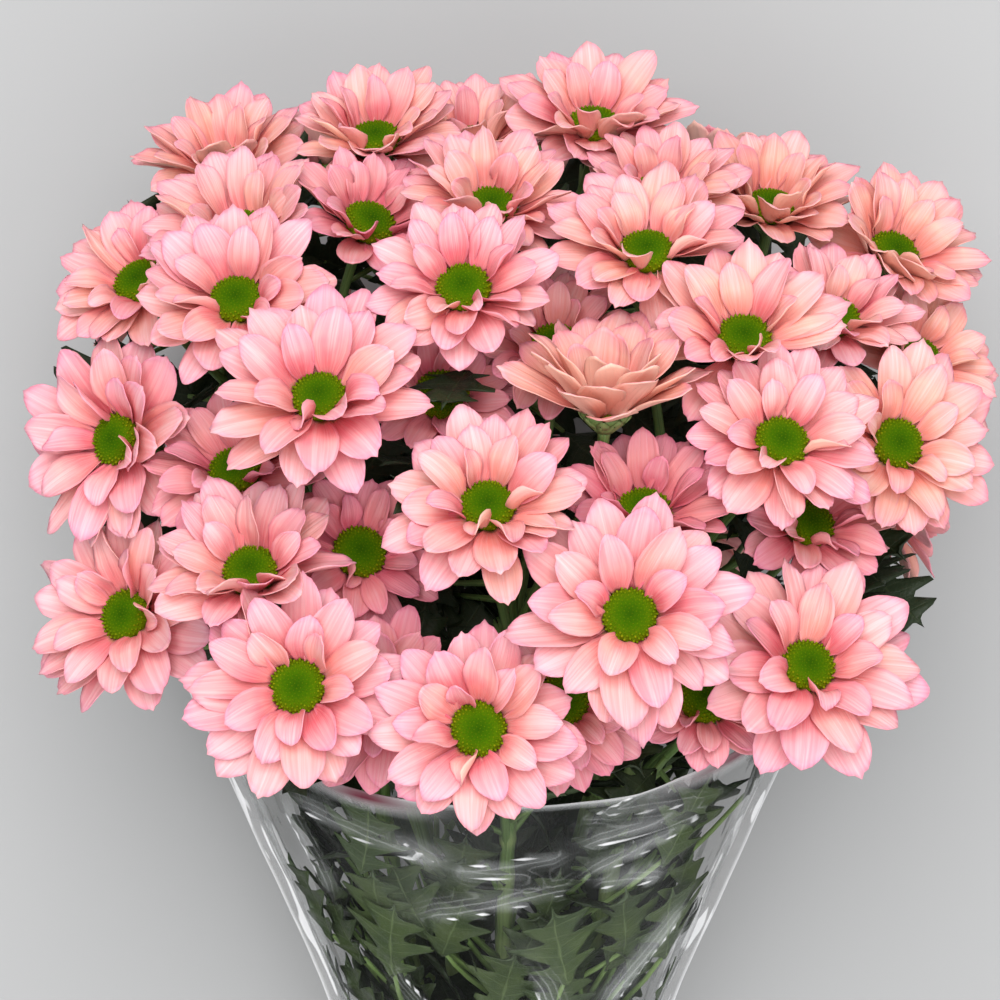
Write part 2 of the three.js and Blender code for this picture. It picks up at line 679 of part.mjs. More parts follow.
// A leaf laid along the inside of the film
function filmLeaf([spray, degrees, y, length, slantDegrees]) {
  const turn = rad(degrees);
  const slant = rad(slantDegrees);
  const surface = (along, across, below) => {
    const height = y + length * (along * Math.cos(slant) - across * Math.sin(slant));
    const inside = LEAF_FILM_GAP + below;
    const aside = length * (across * Math.cos(slant) + along * Math.sin(slant));
    const angle = turn + aside / (filmRadius(turn, height) - inside);
    const radius = filmRadius(angle, height) - inside;
    return V(radius * Math.cos(angle), height, radius * Math.sin(angle));
  };
  const curve = curves[spray];
  return leafTriangles(surface, curve.getPointAt(stemAtY(curve, y - LEAF_STALK_RISE)));
}

// A leaf that stands out from its stem among the flowers and arches over
function openLeaf([spray, degrees, y, length, slantDegrees]) {
  const turn = rad(degrees);
  const slant = rad(slantDegrees);
  const curve = curves[spray];
  const stemPoint = curve.getPointAt(stemAtY(curve, y));
  const out = V(Math.cos(turn), 0, Math.sin(turn));
  const aside = V(Math.sin(turn), 0, -Math.cos(turn));
  const ahead = V(0, Math.cos(slant), 0).addScaledVector(out, Math.sin(slant));
  const below = aside.clone().cross(ahead);
  const surface = (along, across, depth) =>
    stemPoint
      .clone()
      .addScaledVector(ahead, OPEN_LEAF_STALK + length * along)
      .addScaledVector(aside, length * across)
      .addScaledVector(below, depth + length * OPEN_LEAF_ARCH * along * along);
  return leafTriangles(surface, stemPoint);
}

const bunch = new THREE.Group();

function place(name, geometry, material) {
  const mesh = new THREE.Mesh(geometry, material);
  mesh.name = name;
  bunch.add(mesh);
  return mesh;
}

const heads = HEADS.map(headFrame);
const crowd = new Crowd();

const sleeve = sleeveGeometry();
place("sleeve", sleeve, FILM);
crowd.add(trianglesOf(sleeve), "sleeve");

const bandRadius = (STEM_RING + STEM_RADIUS + 0.4) / Math.cos(Math.PI / 12);
const bandProfile = [
  new THREE.Vector2(bandRadius, -2.5),
  new THREE.Vector2(bandRadius + 1.6, -2.5),
  new THREE.Vector2(bandRadius + 1.6, 2.5),
  new THREE.Vector2(bandRadius, 2.5),
  new THREE.Vector2(bandRadius, -2.5),
];
place("band", new THREE.LatheGeometry(bandProfile, 12), RUBBER).position.y = BAND_Y;

const curves = {};
const sprayParts = {};
for (const [name, spray] of Object.entries(SPRAYS)) {
  curves[name] = stemCurve(spray);
  sprayParts[name] = [stemTriangles(curves[name])];
}
for (const head of heads) {
  const curve = curves[head.spray];
  const end = SPRAYS[head.spray].end[1];
  const y = THREE.MathUtils.clamp(head.centre.y - STALK_RISE, LOWEST_BRANCH_Y, end - 3);
  const at = stemAtY(curve, y);
  sprayParts[head.spray].push(
    stalkTriangles(head, curve.getPointAt(at), curve.getTangentAt(at)),
  );
}
for (const leaf of FILM_LEAVES) sprayParts[leaf[0]].push(filmLeaf(leaf));
for (const leaf of OPEN_LEAVES) sprayParts[leaf[0]].push(openLeaf(leaf));
for (const [name, parts] of Object.entries(sprayParts)) {
  crowd.add(parts.flat(), name);
  const solid = wasm.Manifold.union(parts.map(solidOf));
  place("spray_" + name, geometryOfSolid(solid), GREEN);
}

for (const head of heads) crowd.add(collarTriangles(head), head.name);
const fromCentre = (head) => head.centre.distanceTo(V(0, HEAD_CENTRE_Y, 0));
const outermost = [...heads].sort((a, b) => fromCentre(b) - fromCentre(a));
for (const head of outermost) {
  const back = head.matrix.clone().invert();
  const triangles = bloomTriangles(head, crowd);
  const local = triangles.map((t) => t.map((p) => p.clone().applyMatrix4(back)));
  const mesh = place(head.name, geometryOf(local), PINK);
  mesh.position.copy(head.centre);
  mesh.quaternion.copy(head.quaternion);
}

// Laid down, with the origin at the middle of its box on the table
bunch.rotation.x = rad(LEAN);
bunch.position.z = MOUTH_HEIGHT;
bunch.updateMatrixWorld(true);
const middle = new THREE.Box3().setFromObject(bunch, true).getCenter(V(0, 0, 0));
bunch.position.x = -middle.x;
bunch.position.y = -middle.y;

const object = new THREE.Group();
object.add(bunch);

export default object;
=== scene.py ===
"""The looks of a bunch of pink spray chrysanthemums in a clear film sleeve, lying down.

Flowers, greenery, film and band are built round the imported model, in its frame.
"""

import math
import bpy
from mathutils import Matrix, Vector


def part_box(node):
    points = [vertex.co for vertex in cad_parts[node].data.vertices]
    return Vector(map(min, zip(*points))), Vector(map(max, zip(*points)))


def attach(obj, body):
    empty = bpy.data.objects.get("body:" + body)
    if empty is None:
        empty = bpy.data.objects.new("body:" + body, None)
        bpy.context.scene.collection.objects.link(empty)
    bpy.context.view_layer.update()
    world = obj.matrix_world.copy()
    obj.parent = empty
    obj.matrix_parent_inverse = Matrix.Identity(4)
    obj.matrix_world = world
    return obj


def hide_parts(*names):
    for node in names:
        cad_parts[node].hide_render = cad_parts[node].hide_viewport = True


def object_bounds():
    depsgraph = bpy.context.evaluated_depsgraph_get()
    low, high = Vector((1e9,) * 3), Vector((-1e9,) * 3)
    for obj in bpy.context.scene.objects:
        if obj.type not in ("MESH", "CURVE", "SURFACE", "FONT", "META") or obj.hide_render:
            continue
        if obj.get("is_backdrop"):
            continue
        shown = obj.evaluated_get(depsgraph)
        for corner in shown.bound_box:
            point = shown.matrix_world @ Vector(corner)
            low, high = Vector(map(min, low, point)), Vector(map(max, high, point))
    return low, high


bl_info = {
    "name": "Chrysanthemum Bunch",
    "version": (1, 0, 0),
    "blender": (4, 5, 0),
    "location": "3D View > Sidebar > Bunch",
    "description": "Builds a sleeved bunch of spray chrysanthemums round its solid model",
    "category": "Add Mesh",
}

import bpy
import numpy as np
from bpy.props import FloatProperty, FloatVectorProperty, IntProperty, PointerProperty
from mathutils import Matrix, Vector
from mathutils.bvhtree import BVHTree

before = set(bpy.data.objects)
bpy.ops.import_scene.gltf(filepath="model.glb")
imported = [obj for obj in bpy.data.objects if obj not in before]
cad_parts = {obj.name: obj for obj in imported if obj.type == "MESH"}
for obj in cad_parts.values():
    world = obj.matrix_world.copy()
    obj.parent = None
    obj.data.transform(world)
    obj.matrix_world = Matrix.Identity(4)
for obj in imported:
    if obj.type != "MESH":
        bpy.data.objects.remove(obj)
SOLID_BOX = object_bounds()

MM = 0.001

# The bunch's own frame, in millimetres: X to the right, Y along the stems to the flowers,
# Z to the side that faces up. Its origin is the centre of the sleeve's mouth.
LEAN = math.radians(12.6)
MOUTH_HEIGHT = 96
CUT_END_Y = -400
BAND_Y = -335
SIGHT_RISE = math.radians(16)
SIGHT_DISTANCE = 1200
SIGHT_DROP = 10
HEAD_CENTRE_Y = 90
VIEW_CENTRE = Vector((-0.7, 80.4, 2.75))
VIEW_SPAN = 340

SIGHT_UP = Vector((0, math.cos(SIGHT_RISE), -math.sin(SIGHT_RISE)))
SIGHT_BACK = Vector((0, math.sin(SIGHT_RISE), math.cos(SIGHT_RISE)))
TABLE_UP = np.array([0, math.sin(LEAN), math.cos(LEAN)])

# Stems: how far they stand from the bunch's axis where they are tied, and at points further on
STEM_RING = 6.7
STEM_WAY = [(STEM_RING, CUT_END_Y), (STEM_RING, BAND_Y), (17, -185), (32, -95)]
STEM_RADIUS = 3.2
STEM_TIP_RADIUS = 2.3
STEM_SIDES = 15
STALK_TOP = -8
STALK_RISE = 85
STALK_HANDLE = 0.36
LOWEST_BRANCH_Y = -75
# Sprays: angle of the stem round the bunch, 1 if it stands off the axis, end in the head
SPRAYS = {
    "middle": (0, 0, (0, 128, -8)),
    "front": (90, 1, (4, 42, 58)),
    "left": (162, 1, (-52, 48, 34)),
    "right": (18, 1, (54, 48, 34)),
    "back_left": (234, 1, (-58, 56, -30)),
    "back_right": (306, 1, (58, 56, -30)),
}

# Flower heads: spray, then across, above and towards the viewer from the head's centre,
# turn to the right, lift up from facing the viewer, width, and how much it closes up
HEADS = [
    ("middle", 31, 115, 15, 5, 48, 66, 7),
    ("middle", -43, 110, 25, 0, 49, 61, 8),
    ("back_left", -93, 101, 14, -12, 54, 64, 9),
    ("left", -88, 79, 50, -15, 45, 64, 6),
    ("left", -46, 82, 52, 25, 38, 57, 4),
    ("front", -4, 87, 62, 5, 46, 61, 7),
    ("right", 49, 72, 80, 0, 42, 65, 3),
    ("middle", 54, 92, 40, 5, 50, 58, 8),
    ("right", 91, 87, 20, 10, 52, 61, 12),
    ("back_right", 132, 72, 20, 25, 37, 64, 6),
    ("back_left", -122, 62, 45, -25, 35, 63, 0),
    ("left", -90, 56, 80, -3, 33, 67, 3),
    ("front", -13, 60, 100, -3, 32, 61, 3),
    ("right", 82, 43, 88, 2, 36, 66, 3),
    ("right", 112, 50, 50, 15, 45, 58, 4),
    ("left", -62, 23, 112, -3, 33, 73, 0),
    ("back_left", -129, 10, 58, -33, 8, 72, -2),
    ("front", -21, 24, 84, 10, 25, 52, 0),
    ("front", 18, 40, 76, 0, 35, 56, 2),
    ("front", 35, 20, 104, 5, 64, 64, 19),
    ("right", 94, 8, 100, 12, 28, 64, 0),
    ("back_right", 133, 8, 62, 18, 18, 67, 0),
    ("back_right", 140, 36, 28, 30, 30, 60, 0),
    ("front", -5, -14, 118, 0, 33, 65, 3),
    ("front", 48, -16, 98, 3, 42, 61, 4),
    ("left", -90, -2, 76, -10, 38, 60, 0),
    ("left", -85, -36, 102, -8, 35, 65, 3),
    ("left", -49, -29, 80, 12, 22, 55, 0),
    ("back_left", -126, -50, 62, -28, 15, 71, -2),
    ("left", -69, -74, 112, -5, 12, 69, 0),
    ("front", -8, -88, 118, 0, 6, 66, 0),
    ("front", 43, -50, 124, 3, 14, 73, 0),
    ("right", 103, -68, 92, 14, 28, 73, -2),
    ("right", 103, -20, 68, 20, 35, 58, 0),
    ("right", 68, -79, 84, 10, 30, 50, 0),
    ("front", 20, -78, 90, 10, 8, 60, 0),
    ("left", -40, -78, 86, -10, 5, 60, 0),
    ("middle", -10, 109, 5, -5, 60, 58, 12),
    ("middle", -58, 100, -42, -155, 62, 60, 8),
    ("middle", 10, 106, -48, 180, 60, 61, 8),
    ("middle", 74, 92, -42, 150, 62, 60, 8),
    ("back_left", -118, 60, -30, -110, 35, 60, 0),
    ("back_left", -66, 46, -92, -150, 32, 62, 0),
    ("middle", 4, 50, -92, 180, 30, 62, 0),
    ("back_right", 70, 42, -92, 150, 32, 62, 0),
    ("back_right", 126, 58, -34, 115, 35, 60, 0),
    ("back_left", -124, -8, -30, -110, 15, 62, 0),
    ("back_left", -58, -18, -94, -155, 15, 62, 0),
    ("back_right", 6, -16, -96, 178, 12, 62, 0),
    ("back_right", 66, -20, -94, 150, 14, 62, 0),
    ("back_right", 128, -10, -26, 105, 15, 62, 0),
]

# Heads past this number are at the back and underneath, and have fewer florets
SEEN_HEADS = 38

# How far petal and green colours are turned down for the strong studio light
PETAL_TONE = (0.87, 0.765, 0.77)
GREEN_TONE = (0.83, 0.83, 0.83)

# How peachy each head is, where it isn't plainly pink
PEACHY = {1: 0.3, 2: 0.4, 3: 0.55, 4: 0.35, 6: 0.45, 7: 0.5, 8: 0.4, 9: 0.95, 10: 0.85, 11: 0.35,
          14: 0.45, 19: 0.45, 20: 1.1, 22: 0.85, 23: 0.95, 12: 0.25, 24: 0.3, 38: 0.4}
# Painted shade: heads set far in the bunch are given a mauver, darker colour
SHADED_HEADS = {5: 0.5, 18: 0.8, 19: 0.4, 25: 0.7, 26: 0.6, 28: 0.8, 34: 0.4, 35: 0.4, 36: 0.5, 37: 0.5}

# The petals from the outermost to the innermost, each a golden turn on from the last: lift
# from the flower's plane, length and width as shares of the outer length, bend along the
# length, cupping, root radius and root height at these shares of the way in
PETALS = 31
GOLDEN_TURN = math.radians(137.508)
WAY_IN = [0, 0.4, 0.75, 1]
LIFT = [10, 23, 39, 60]
LENGTH = [1, 0.97, 0.86, 0.62]
WIDTH = [0.5, 0.48, 0.44, 0.37]
CURL = [-8, -10, -14, -24]
CUP = [0.25, 0.3, 0.45, 0.7]
ROOT_RADIUS = [7.5, 7.7, 7.9, 8.1]
ROOT_HEIGHT = [0, 1.0, 1.9, 2.6]
DROOP = 8

# The sleeve's distance along the bunch and radius, from the mouth down
SLEEVE_ROWS = [(12, 104), (-97, 64), (-180, 36), (-300, 27)]
MOUTH_SWELL = 8
FIN = 7
# Rows of the film's grid, and its columns on the side that shows and on the other
SLEEVE_GRID = (90, 164, 60)

# Creases in the film: angle and distance along the bunch at both ends, height, half width
CREASES = [
    (112, -9, 103, -19, 1.6, 3),
    (111, -43, 71, -29, 2.2, 7),
    (71, -29, 52, -31, 1.8, 6),
    (102, -20, 75, -13, 2.0, 6),
    (75, -13, 44, -5, 2.2, 6),
    (74, -27, 44, -6, 2.0, 5),
    (75, -2, 56, 14, 2.4, 6),
    (140, -4, 133, -42, 2.0, 5),
    (137, -4, 100, -21, 2.4, 6),
    (39, -46, 60, -84, 2.4, 6),
    (28, -12, 44, -78, 2.2, 5),
    (150, -50, 141, -95, 2.4, 5),
    (155, 4, 147, -60, 1.8, 4),
    (101, -22, 82, -25, 1.5, 3),
    (73, 0, 46, -2, 2.0, 3),
    (120, -60, 92, -110, 2.0, 7),
    (84, -60, 66, -118, 2.0, 7),
    (128, -100, 118, -170, 2.0, 5),
    (60, -110, 72, -190, 2.0, 5),
    (96, -130, 90, -220, 1.8, 5),
    (30, -60, 38, -150, 2.0, 5),
    (-30, 0, -60, -50, 2.2, 6),
    (-50, 5, -96, -24, 2.2, 6),
    (-80, -30, -120, -70, 2.2, 6),
    (-100, -5, -140, -40, 2.2, 6),
    (-125, -60, -108, -130, 2.0, 6),
    (-66, -60, -80, -140, 2.0, 6),
    (-30, -70, -44, -160, 2.0, 5),
    (-150, -20, -142, -110, 2.0, 5),
]

# Where the film's rim gets a painted pink reflection of the flowers: angle and width, in degrees
RIM_REFLECTIONS = [(117, 10), (138, 6), (40, 13), (250, 12), (300, 9)]

# Leaves on the film and leaves among the flowers: spray, angle round the bunch, where the
# blade begins along the bunch, length and slant
FILM_LEAVES = [
    ("right", 50, -168, 40, -19), ("left", 140, -168, 47, 9), ("back_left", 230, -168, 44, -4),
    ("back_right", 320, -168, 43, -11), ("right", 18, -128, 50, 10), ("front", 90, -128, 47, -15),
    ("left", 162, -128, 52, 1), ("back_left", 234, -128, 47, -6), ("back_right", 306, -128, 48, 1),
    ("right", 32, -88, 53, 21), ("front", 67, -88, 53, 17), ("left", 127, -88, 52, -16),
    ("back_left", 202, -88, 56, 11), ("back_right", 292, -88, 56, 5), ("right", 0, -45, 53, 18),
    ("front", 56, -45, 54, -20), ("left", 128, -45, 51, -21), ("back_left", 216, -45, 51, 20),
    ("back_right", 272, -45, 53, 8),
]
OPEN_LEAVES = [
    ("right", 15, -20, 49, 43), ("front", 66, -20, 43, 51), ("left", 169, -20, 47, 58),
    ("back_left", 221, -20, 46, 56), ("back_right", 272, -20, 47, 58), ("right", 40, 12, 43, 57),
    ("front", 106, 12, 45, 56), ("left", 143, 12, 42, 59), ("back_left", 199, 12, 45, 49),
    ("back_right", 312, 12, 35, 43),
]


def linear(red, green, blue):
    """A colour given as 0 to 255 values on a screen, as linear values."""
    shares = (c / 255 for c in (red, green, blue))
    return tuple(c / 12.92 if c <= 0.04045 else ((c + 0.055) / 1.055) ** 2.4 for c in shares)


def opaque(colour):
    return (*colour, 1.0)


def colour_setting(name, description, default):
    return FloatVectorProperty(
        name=name, description=description, default=default, subtype="COLOR", size=3, min=0, max=1
    )


def length_setting(name, description, default, low, high):
    return FloatProperty(
        name=name, description=description, default=default, min=low, max=high, subtype="DISTANCE",
        unit="LENGTH",
    )


class BunchFlowerSettings(bpy.types.PropertyGroup):
    """Colours and sizes of the flower heads."""

    pink: colour_setting("Pink", "Middle of a pink petal", linear(255, 176, 182))
    peach: colour_setting("Peach", "Middle of a peachy petal", linear(255, 198, 170))
    # Coral is partly the petals' own colour and partly painted shade, darker and redder toward the root where
    # petals overlap
    coral: colour_setting("Coral", "Lower part of every petal", linear(228, 96, 104))
    tip: colour_setting("Tip", "Tips and edges of the petals", linear(226, 112, 164))
    under: colour_setting("Underside", "Back of the petals", linear(252, 172, 180))
    thickness: length_setting("Petal thickness", "Thickness at a petal's middle", 0.0004, 0.0002, 0.001)
    disc: colour_setting("Disc", "Middle of the disc", linear(66, 104, 1))
    rim: colour_setting("Disc rim", "Florets at the edge of the disc", linear(112, 128, 4))
    florets: IntProperty(
        name="Florets", description="Tiny florets on each disc", default=170, min=20, max=300
    )


class BunchGreenSettings(bpy.types.PropertyGroup):
    """Colours and numbers of the stems and leaves."""

    leaf: colour_setting("Leaf", "Upper face of the leaves", linear(60, 76, 42))
    leaf_back: colour_setting("Leaf back", "Lower face of the leaves", linear(80, 96, 66))
    stem: colour_setting("Stem", "Stems and stalks", linear(116, 148, 76))
    fill_leaves: IntProperty(
        name="Fill leaves", description="More leaves inside the bunch", default=270, min=0, max=300
    )


class BunchSleeveSettings(bpy.types.PropertyGroup):
    """The film sleeve and the rubber band."""

    thickness: length_setting("Film thickness", "Wall of the film", 0.00022, 0.00005, 0.001)
    # The film's colour is what shows where it is not clear, mostly its painted sheen
    film: colour_setting("Film", "Tint of the film", (0.68, 0.7, 0.7))
    rubber: colour_setting("Rubber", "Rubber band", linear(204, 160, 96))
    strand: length_setting("Strand", "Thickness of the band's strand", 0.0011, 0.0005, 0.002)


class BunchStageSettings(bpy.types.PropertyGroup):
    """Floor, lights and camera."""

    floor: colour_setting("Floor", "Pale floor under the bunch", (0.395, 0.395, 0.395))
    key: FloatProperty(
        name="Key light", description="Power of the key light", default=74, min=0, max=500, unit="POWER"
    )
    fill: FloatProperty(
        name="Fill light", description="Power of the fill light", default=30, min=0, max=500, unit="POWER"
    )
    sky: FloatProperty(name="Sky", description="Strength of the light all round", default=0.72, min=0, max=5)


# ---------------- placing


def band_shift():
    """How far the bunch was moved on the table, in millimetres, as the band's place shows."""
    low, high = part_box("band")
    middle = (low + high) / 2 / MM
    return middle.x, middle.y - BAND_Y * math.cos(LEAN)


SHIFT_X, SHIFT_Y = band_shift()


def placed(points):
    """Points of the bunch's frame, in millimetres, as world points in metres."""
    p = np.asarray(points, float)
    y = p[..., 1] * math.cos(LEAN) - p[..., 2] * math.sin(LEAN) + SHIFT_Y
    z = p[..., 1] * math.sin(LEAN) + p[..., 2] * math.cos(LEAN) + MOUTH_HEIGHT
    return np.stack([p[..., 0] + SHIFT_X, y, z], -1) * MM


def turned_way(way):
    """A direction of the bunch's frame as a world direction."""
    y = way[1] * math.cos(LEAN) - way[2] * math.sin(LEAN)
    z = way[1] * math.sin(LEAN) + way[2] * math.cos(LEAN)
    return Vector((way[0], y, z))


def unit(vectors):
    size = np.linalg.norm(vectors, axis=-1, keepdims=True)
    return vectors / np.maximum(size, 1e-9)


# ---------------- meshes


class Shape:
    """Points, faces and point values of one piece while it is being built."""

    def __init__(self, *values):
        self.points, self.quads, self.tris = [], [], []
        self.values = {name: [] for name in values}
        self.count = 0

    def add(self, points, quads=None, tris=None, **values):
        points = np.asarray(points, float).reshape(-1, 3)
        self.points.append(points)
        if quads is not None and len(quads):
            self.quads.append(np.asarray(quads) + self.count)
        if tris is not None and len(tris):
            self.tris.append(np.asarray(tris) + self.count)
        for name, rows in self.values.items():
            value = values.get(name, 0.0)
            rows.append(np.broadcast_to(np.asarray(value, float).reshape(-1), len(points)))
        self.count += len(points)

    def piece(self, name, material, slot, *nodes):
        """Makes the mesh object, which rides on the root and stands for its solids."""
        points = placed(np.concatenate(self.points))
        faces = [np.concatenate(f) for f in (self.quads, self.tris) if f]
        corners = np.concatenate([f.reshape(-1) for f in faces])
        sizes = np.concatenate([np.full(len(f), f.shape[1]) for f in faces])
        mesh = bpy.data.meshes.new(name)
        mesh.vertices.add(len(points))
        mesh.vertices.foreach_set("co", points.astype(np.float32).reshape(-1))
        mesh.loops.add(len(corners))
        mesh.loops.foreach_set("vertex_index", corners.astype(np.int32))
        mesh.polygons.add(len(sizes))
        mesh.polygons.foreach_set("loop_start", (np.cumsum(sizes) - sizes).astype(np.int32))
        mesh.update(calc_edges=True)
        if mesh.validate():
            raise RuntimeError(f"{name} has faces that Blender had to mend")
        mesh.shade_smooth()
        for value, rows in self.values.items():
            layer = mesh.attributes.new(value, "FLOAT", "POINT")
            layer.data.foreach_set("value", np.concatenate(rows).astype(np.float32))
        mesh.materials.append(material)
        piece = bpy.data.objects.new(name, mesh)
        bpy.context.scene.collection.objects.link(piece)
        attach(piece, "root")
        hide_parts(*nodes)
        return piece


def grid_quads(rows, columns, start=0, flip=False):
    i, j = np.meshgrid(np.arange(rows - 1), np.arange(columns - 1), indexing="ij")
    a = (i * columns + j).reshape(-1) + start
    order = [a, a + columns, a + columns + 1, a + 1]
    return np.stack(order[::-1] if flip else order, -1)


def shell(middle, thickness):
    """A closed sheet about a grid of points: its points, its quads, and 1 for its lower face."""
    rows, columns = middle.shape[:2]
    normal = unit(np.cross(np.gradient(middle, axis=0), np.gradient(middle, axis=1)))
    half = np.broadcast_to(np.asarray(thickness, float) / 2, (rows, columns))[..., None]
    points = np.concatenate([middle + normal * half, middle - normal * half]).reshape(-1, 3)
    n = rows * columns
    i, j = np.arange(rows), np.arange(columns)
    edge = np.concatenate([
        i[:-1] * columns, (rows - 1) * columns + j[:-1], (i[:0:-1]) * columns + columns - 1, j[:0:-1],
    ])
    after = np.roll(edge, -1)
    sides = np.stack([after, edge, edge + n, after + n], -1)
    quads = np.concatenate([grid_quads(rows, columns), grid_quads(rows, columns, n, True), sides])
    return points, quads, np.repeat([0.0, 1.0], n)


def ring_faces(count, sides):
    """Faces between rings of points, and from the outer rings to two end points after them."""
    ring = np.arange(sides)
    after = (ring + 1) % sides
    rows = np.arange(count - 1)[:, None] * sides
    a, b = (rows + ring).reshape(-1), (rows + after).reshape(-1)
    end, last = count * sides, (count - 1) * sides
    tris = np.concatenate([
        np.stack([np.full(sides, end), after, ring], -1),
        np.stack([np.full(sides, end + 1), ring + last, after + last], -1),
    ])
    return np.stack([a, b, b + sides, a + sides], -1), tris


def tube(centres, radii, sides, start_side=(1.0, 0, 0), ribs=0.0, rib_count=5):
    """A closed tube along a line of points, with each point's share along and around it."""
    centres = np.asarray(centres, float)
    side = np.array(start_side)
    turns = np.arange(sides) * 2 * math.pi / sides
    swell = 1 + ribs * np.cos(turns * rib_count)
    rings = []
    for centre, along, radius in zip(centres, unit(np.gradient(centres, axis=0)), radii):
        side = side - along * np.dot(side, along)
        side /= np.linalg.norm(side)
        other = np.cross(along, side)
        ring = np.outer(np.cos(turns) * swell, side) + np.outer(np.sin(turns) * swell, other)
        rings.append(centre + radius * ring)
    count = len(centres)
    points = np.concatenate(rings + [centres[:1], centres[-1:]])
    along = np.concatenate([np.repeat(np.linspace(0, 1, count), sides), [0, 1]])
    around = np.concatenate([np.tile(np.arange(sides) / sides, count), [0, 0]])
    return points, *ring_faces(count, sides), along, around


def turned(profile, sides):
    """A closed body turned from (radius, height) points; the first and last radius are 0."""
    turns = np.arange(sides) * 2 * math.pi / sides
    rings = [
        np.stack([r * np.cos(turns), r * np.sin(turns), np.full(sides, h)], -1) for r, h in profile[1:-1]
    ]
    ends = np.array([[0, 0, profile[0][1]], [0, 0, profile[-1][1]]])
    return np.concatenate(rings + [ends]), *ring_faces(len(rings), sides)


# ---------------- materials


def node(tree, kind, inputs=(), **settings):
    """Adds a shader node; inputs are given by name or number, as values or as sockets."""
    made = tree.nodes.new("ShaderNode" + kind)
    for key, value in settings.items():
        setattr(made, key, value)
    for key, value in dict(inputs).items():
        if isinstance(value, bpy.types.NodeSocket):
            tree.links.new(value, made.inputs[key])
        else:
            made.inputs[key].default_value = value
    return made


def maths(tree, operation, *values, clamp=False):
    made = node(tree, "Math", dict(enumerate(values)), operation=operation, use_clamp=clamp)
    return made.outputs[0]


def times(tree, first, second):
    return maths(tree, "MULTIPLY", first, second)


def larger(tree, first, second):
    return maths(tree, "MAXIMUM", first, second)


def blended(tree, share, first, second, kind="MIX"):
    made = node(tree, "Mix", {"Factor": share}, data_type="RGBA", blend_type=kind)
    for socket, value in ((made.inputs[6], first), (made.inputs[7], second)):
        if isinstance(value, bpy.types.NodeSocket):
            tree.links.new(value, socket)
        else:
            socket.default_value = opaque(value) if len(value) == 3 else value
    return made.outputs[2]


def ranged(tree, value, low, high, out_low=0.0, out_high=1.0, smooth=True):
    made = node(
        tree, "MapRange", {0: value, 1: low, 2: high, 3: out_low, 4: out_high},
        interpolation_type="SMOOTHSTEP" if smooth else "LINEAR",
    )
    return made.outputs[0]


def attribute(tree, name):
    return node(tree, "Attribute", attribute_name=name).outputs["Fac"]


def ramp(tree, value, stops):
    made = node(tree, "ValToRGB", {0: value})
    elements = made.color_ramp.elements
    while len(elements) < len(stops):
        elements.new(0.5)
    for element, (at, colour) in zip(elements, stops):
        element.position = at
        element.color = opaque(colour)
    return made.outputs[0]


def effect_group(name, inputs, outputs):
    """An empty shader node group with these named inputs, as (name, default), and outputs."""
    group = bpy.data.node_groups.new(name, "ShaderNodeTree")
    for label, default in inputs:
        socket = group.interface.new_socket(label, in_out="INPUT", socket_type="NodeSocketFloat")
        socket.default_value = default
    for label in outputs:
        group.interface.new_socket(label, in_out="OUTPUT", socket_type="NodeSocketFloat")
    return group, group.nodes.new("NodeGroupInput"), group.nodes.new("NodeGroupOutput")


def mottle_group():
    """Soft uneven patches in the object's own space."""
    name = "Soft mottling"
    if name in bpy.data.node_groups:
        return bpy.data.node_groups[name]
    group, given, result = effect_group(
        name, [("Scale", 100.0), ("Detail", 3.0), ("Low", 0.35), ("High", 0.65)], ["Mask"]
    )
    place = node(group, "TexCoord").outputs["Object"]
    noise = node(
        group, "TexNoise",
        {"Vector": place, "Scale": given.outputs["Scale"], "Detail": given.outputs["Detail"]},
    )
    mask = ranged(group, noise.outputs[0], given.outputs["Low"], given.outputs["High"])
    group.links.new(mask, result.inputs["Mask"])
    return group


def vein_group():
    """Fine lines that run the length of a petal, leaf or stem."""
    name = "Lengthwise veins"
    if name in bpy.data.node_groups:
        return bpy.data.node_groups[name]
    group, given, result = effect_group(
        name,
        [("Along", 0.0), ("Across", 0.0), ("Seed", 0.0), ("Lines", 9.0), ("Waver", 1.2)],
        ["Mask"],
    )
    across = times(group, given.outputs["Across"], given.outputs["Lines"])
    along = times(group, given.outputs["Along"], given.outputs["Waver"])
    seed = times(group, given.outputs["Seed"], 57.0)
    place = node(group, "CombineXYZ", {0: across, 1: along, 2: seed})
    noise = node(
        group, "TexNoise", {"Vector": place.outputs[0], "Scale": 1.0, "Detail": 1.0}
    )
    mask = ranged(group, noise.outputs[0], 0.36, 0.64)
    group.links.new(mask, result.inputs["Mask"])
    return group


def effect(tree, group, **inputs):
    made = node(tree, "Group", node_tree=group)
    for key, value in inputs.items():
        if isinstance(value, bpy.types.NodeSocket):
            tree.links.new(value, made.inputs[key])
        else:
            made.inputs[key].default_value = value
    return made.outputs[0]


def mottled(tree, scale, detail=2.0, low=0.3, high=0.7):
    """Soft patches: how many to a metre, how rough, and where they begin and end."""
    return effect(tree, mottle_group(), Scale=scale, Detail=detail, Low=low, High=high)


def fresh_material(name):
    material = bpy.data.materials.new(name)
    material.use_nodes = True
    tree = material.node_tree
    tree.nodes.clear()
    shader = tree.nodes.new("ShaderNodeBsdfPrincipled")
    output = tree.nodes.new("ShaderNodeOutputMaterial")
    tree.links.new(shader.outputs[0], output.inputs[0])
    return material, tree, shader


def put(tree, shader, **inputs):
    for key, value in inputs.items():
        socket = shader.inputs[key.replace("_", " ")]
        if isinstance(value, bpy.types.NodeSocket):
            tree.links.new(value, socket)
        else:
            socket.default_value = value


def bump(tree, height, strength, distance):
    made = node(tree, "Bump", {"Height": height, "Strength": strength, "Distance": distance})
    return made.outputs[0]


def toned(tree, colour, tone):
    """A colour with each of its three parts turned down."""
    return blended(tree, 1.0, colour, tone, "MULTIPLY")


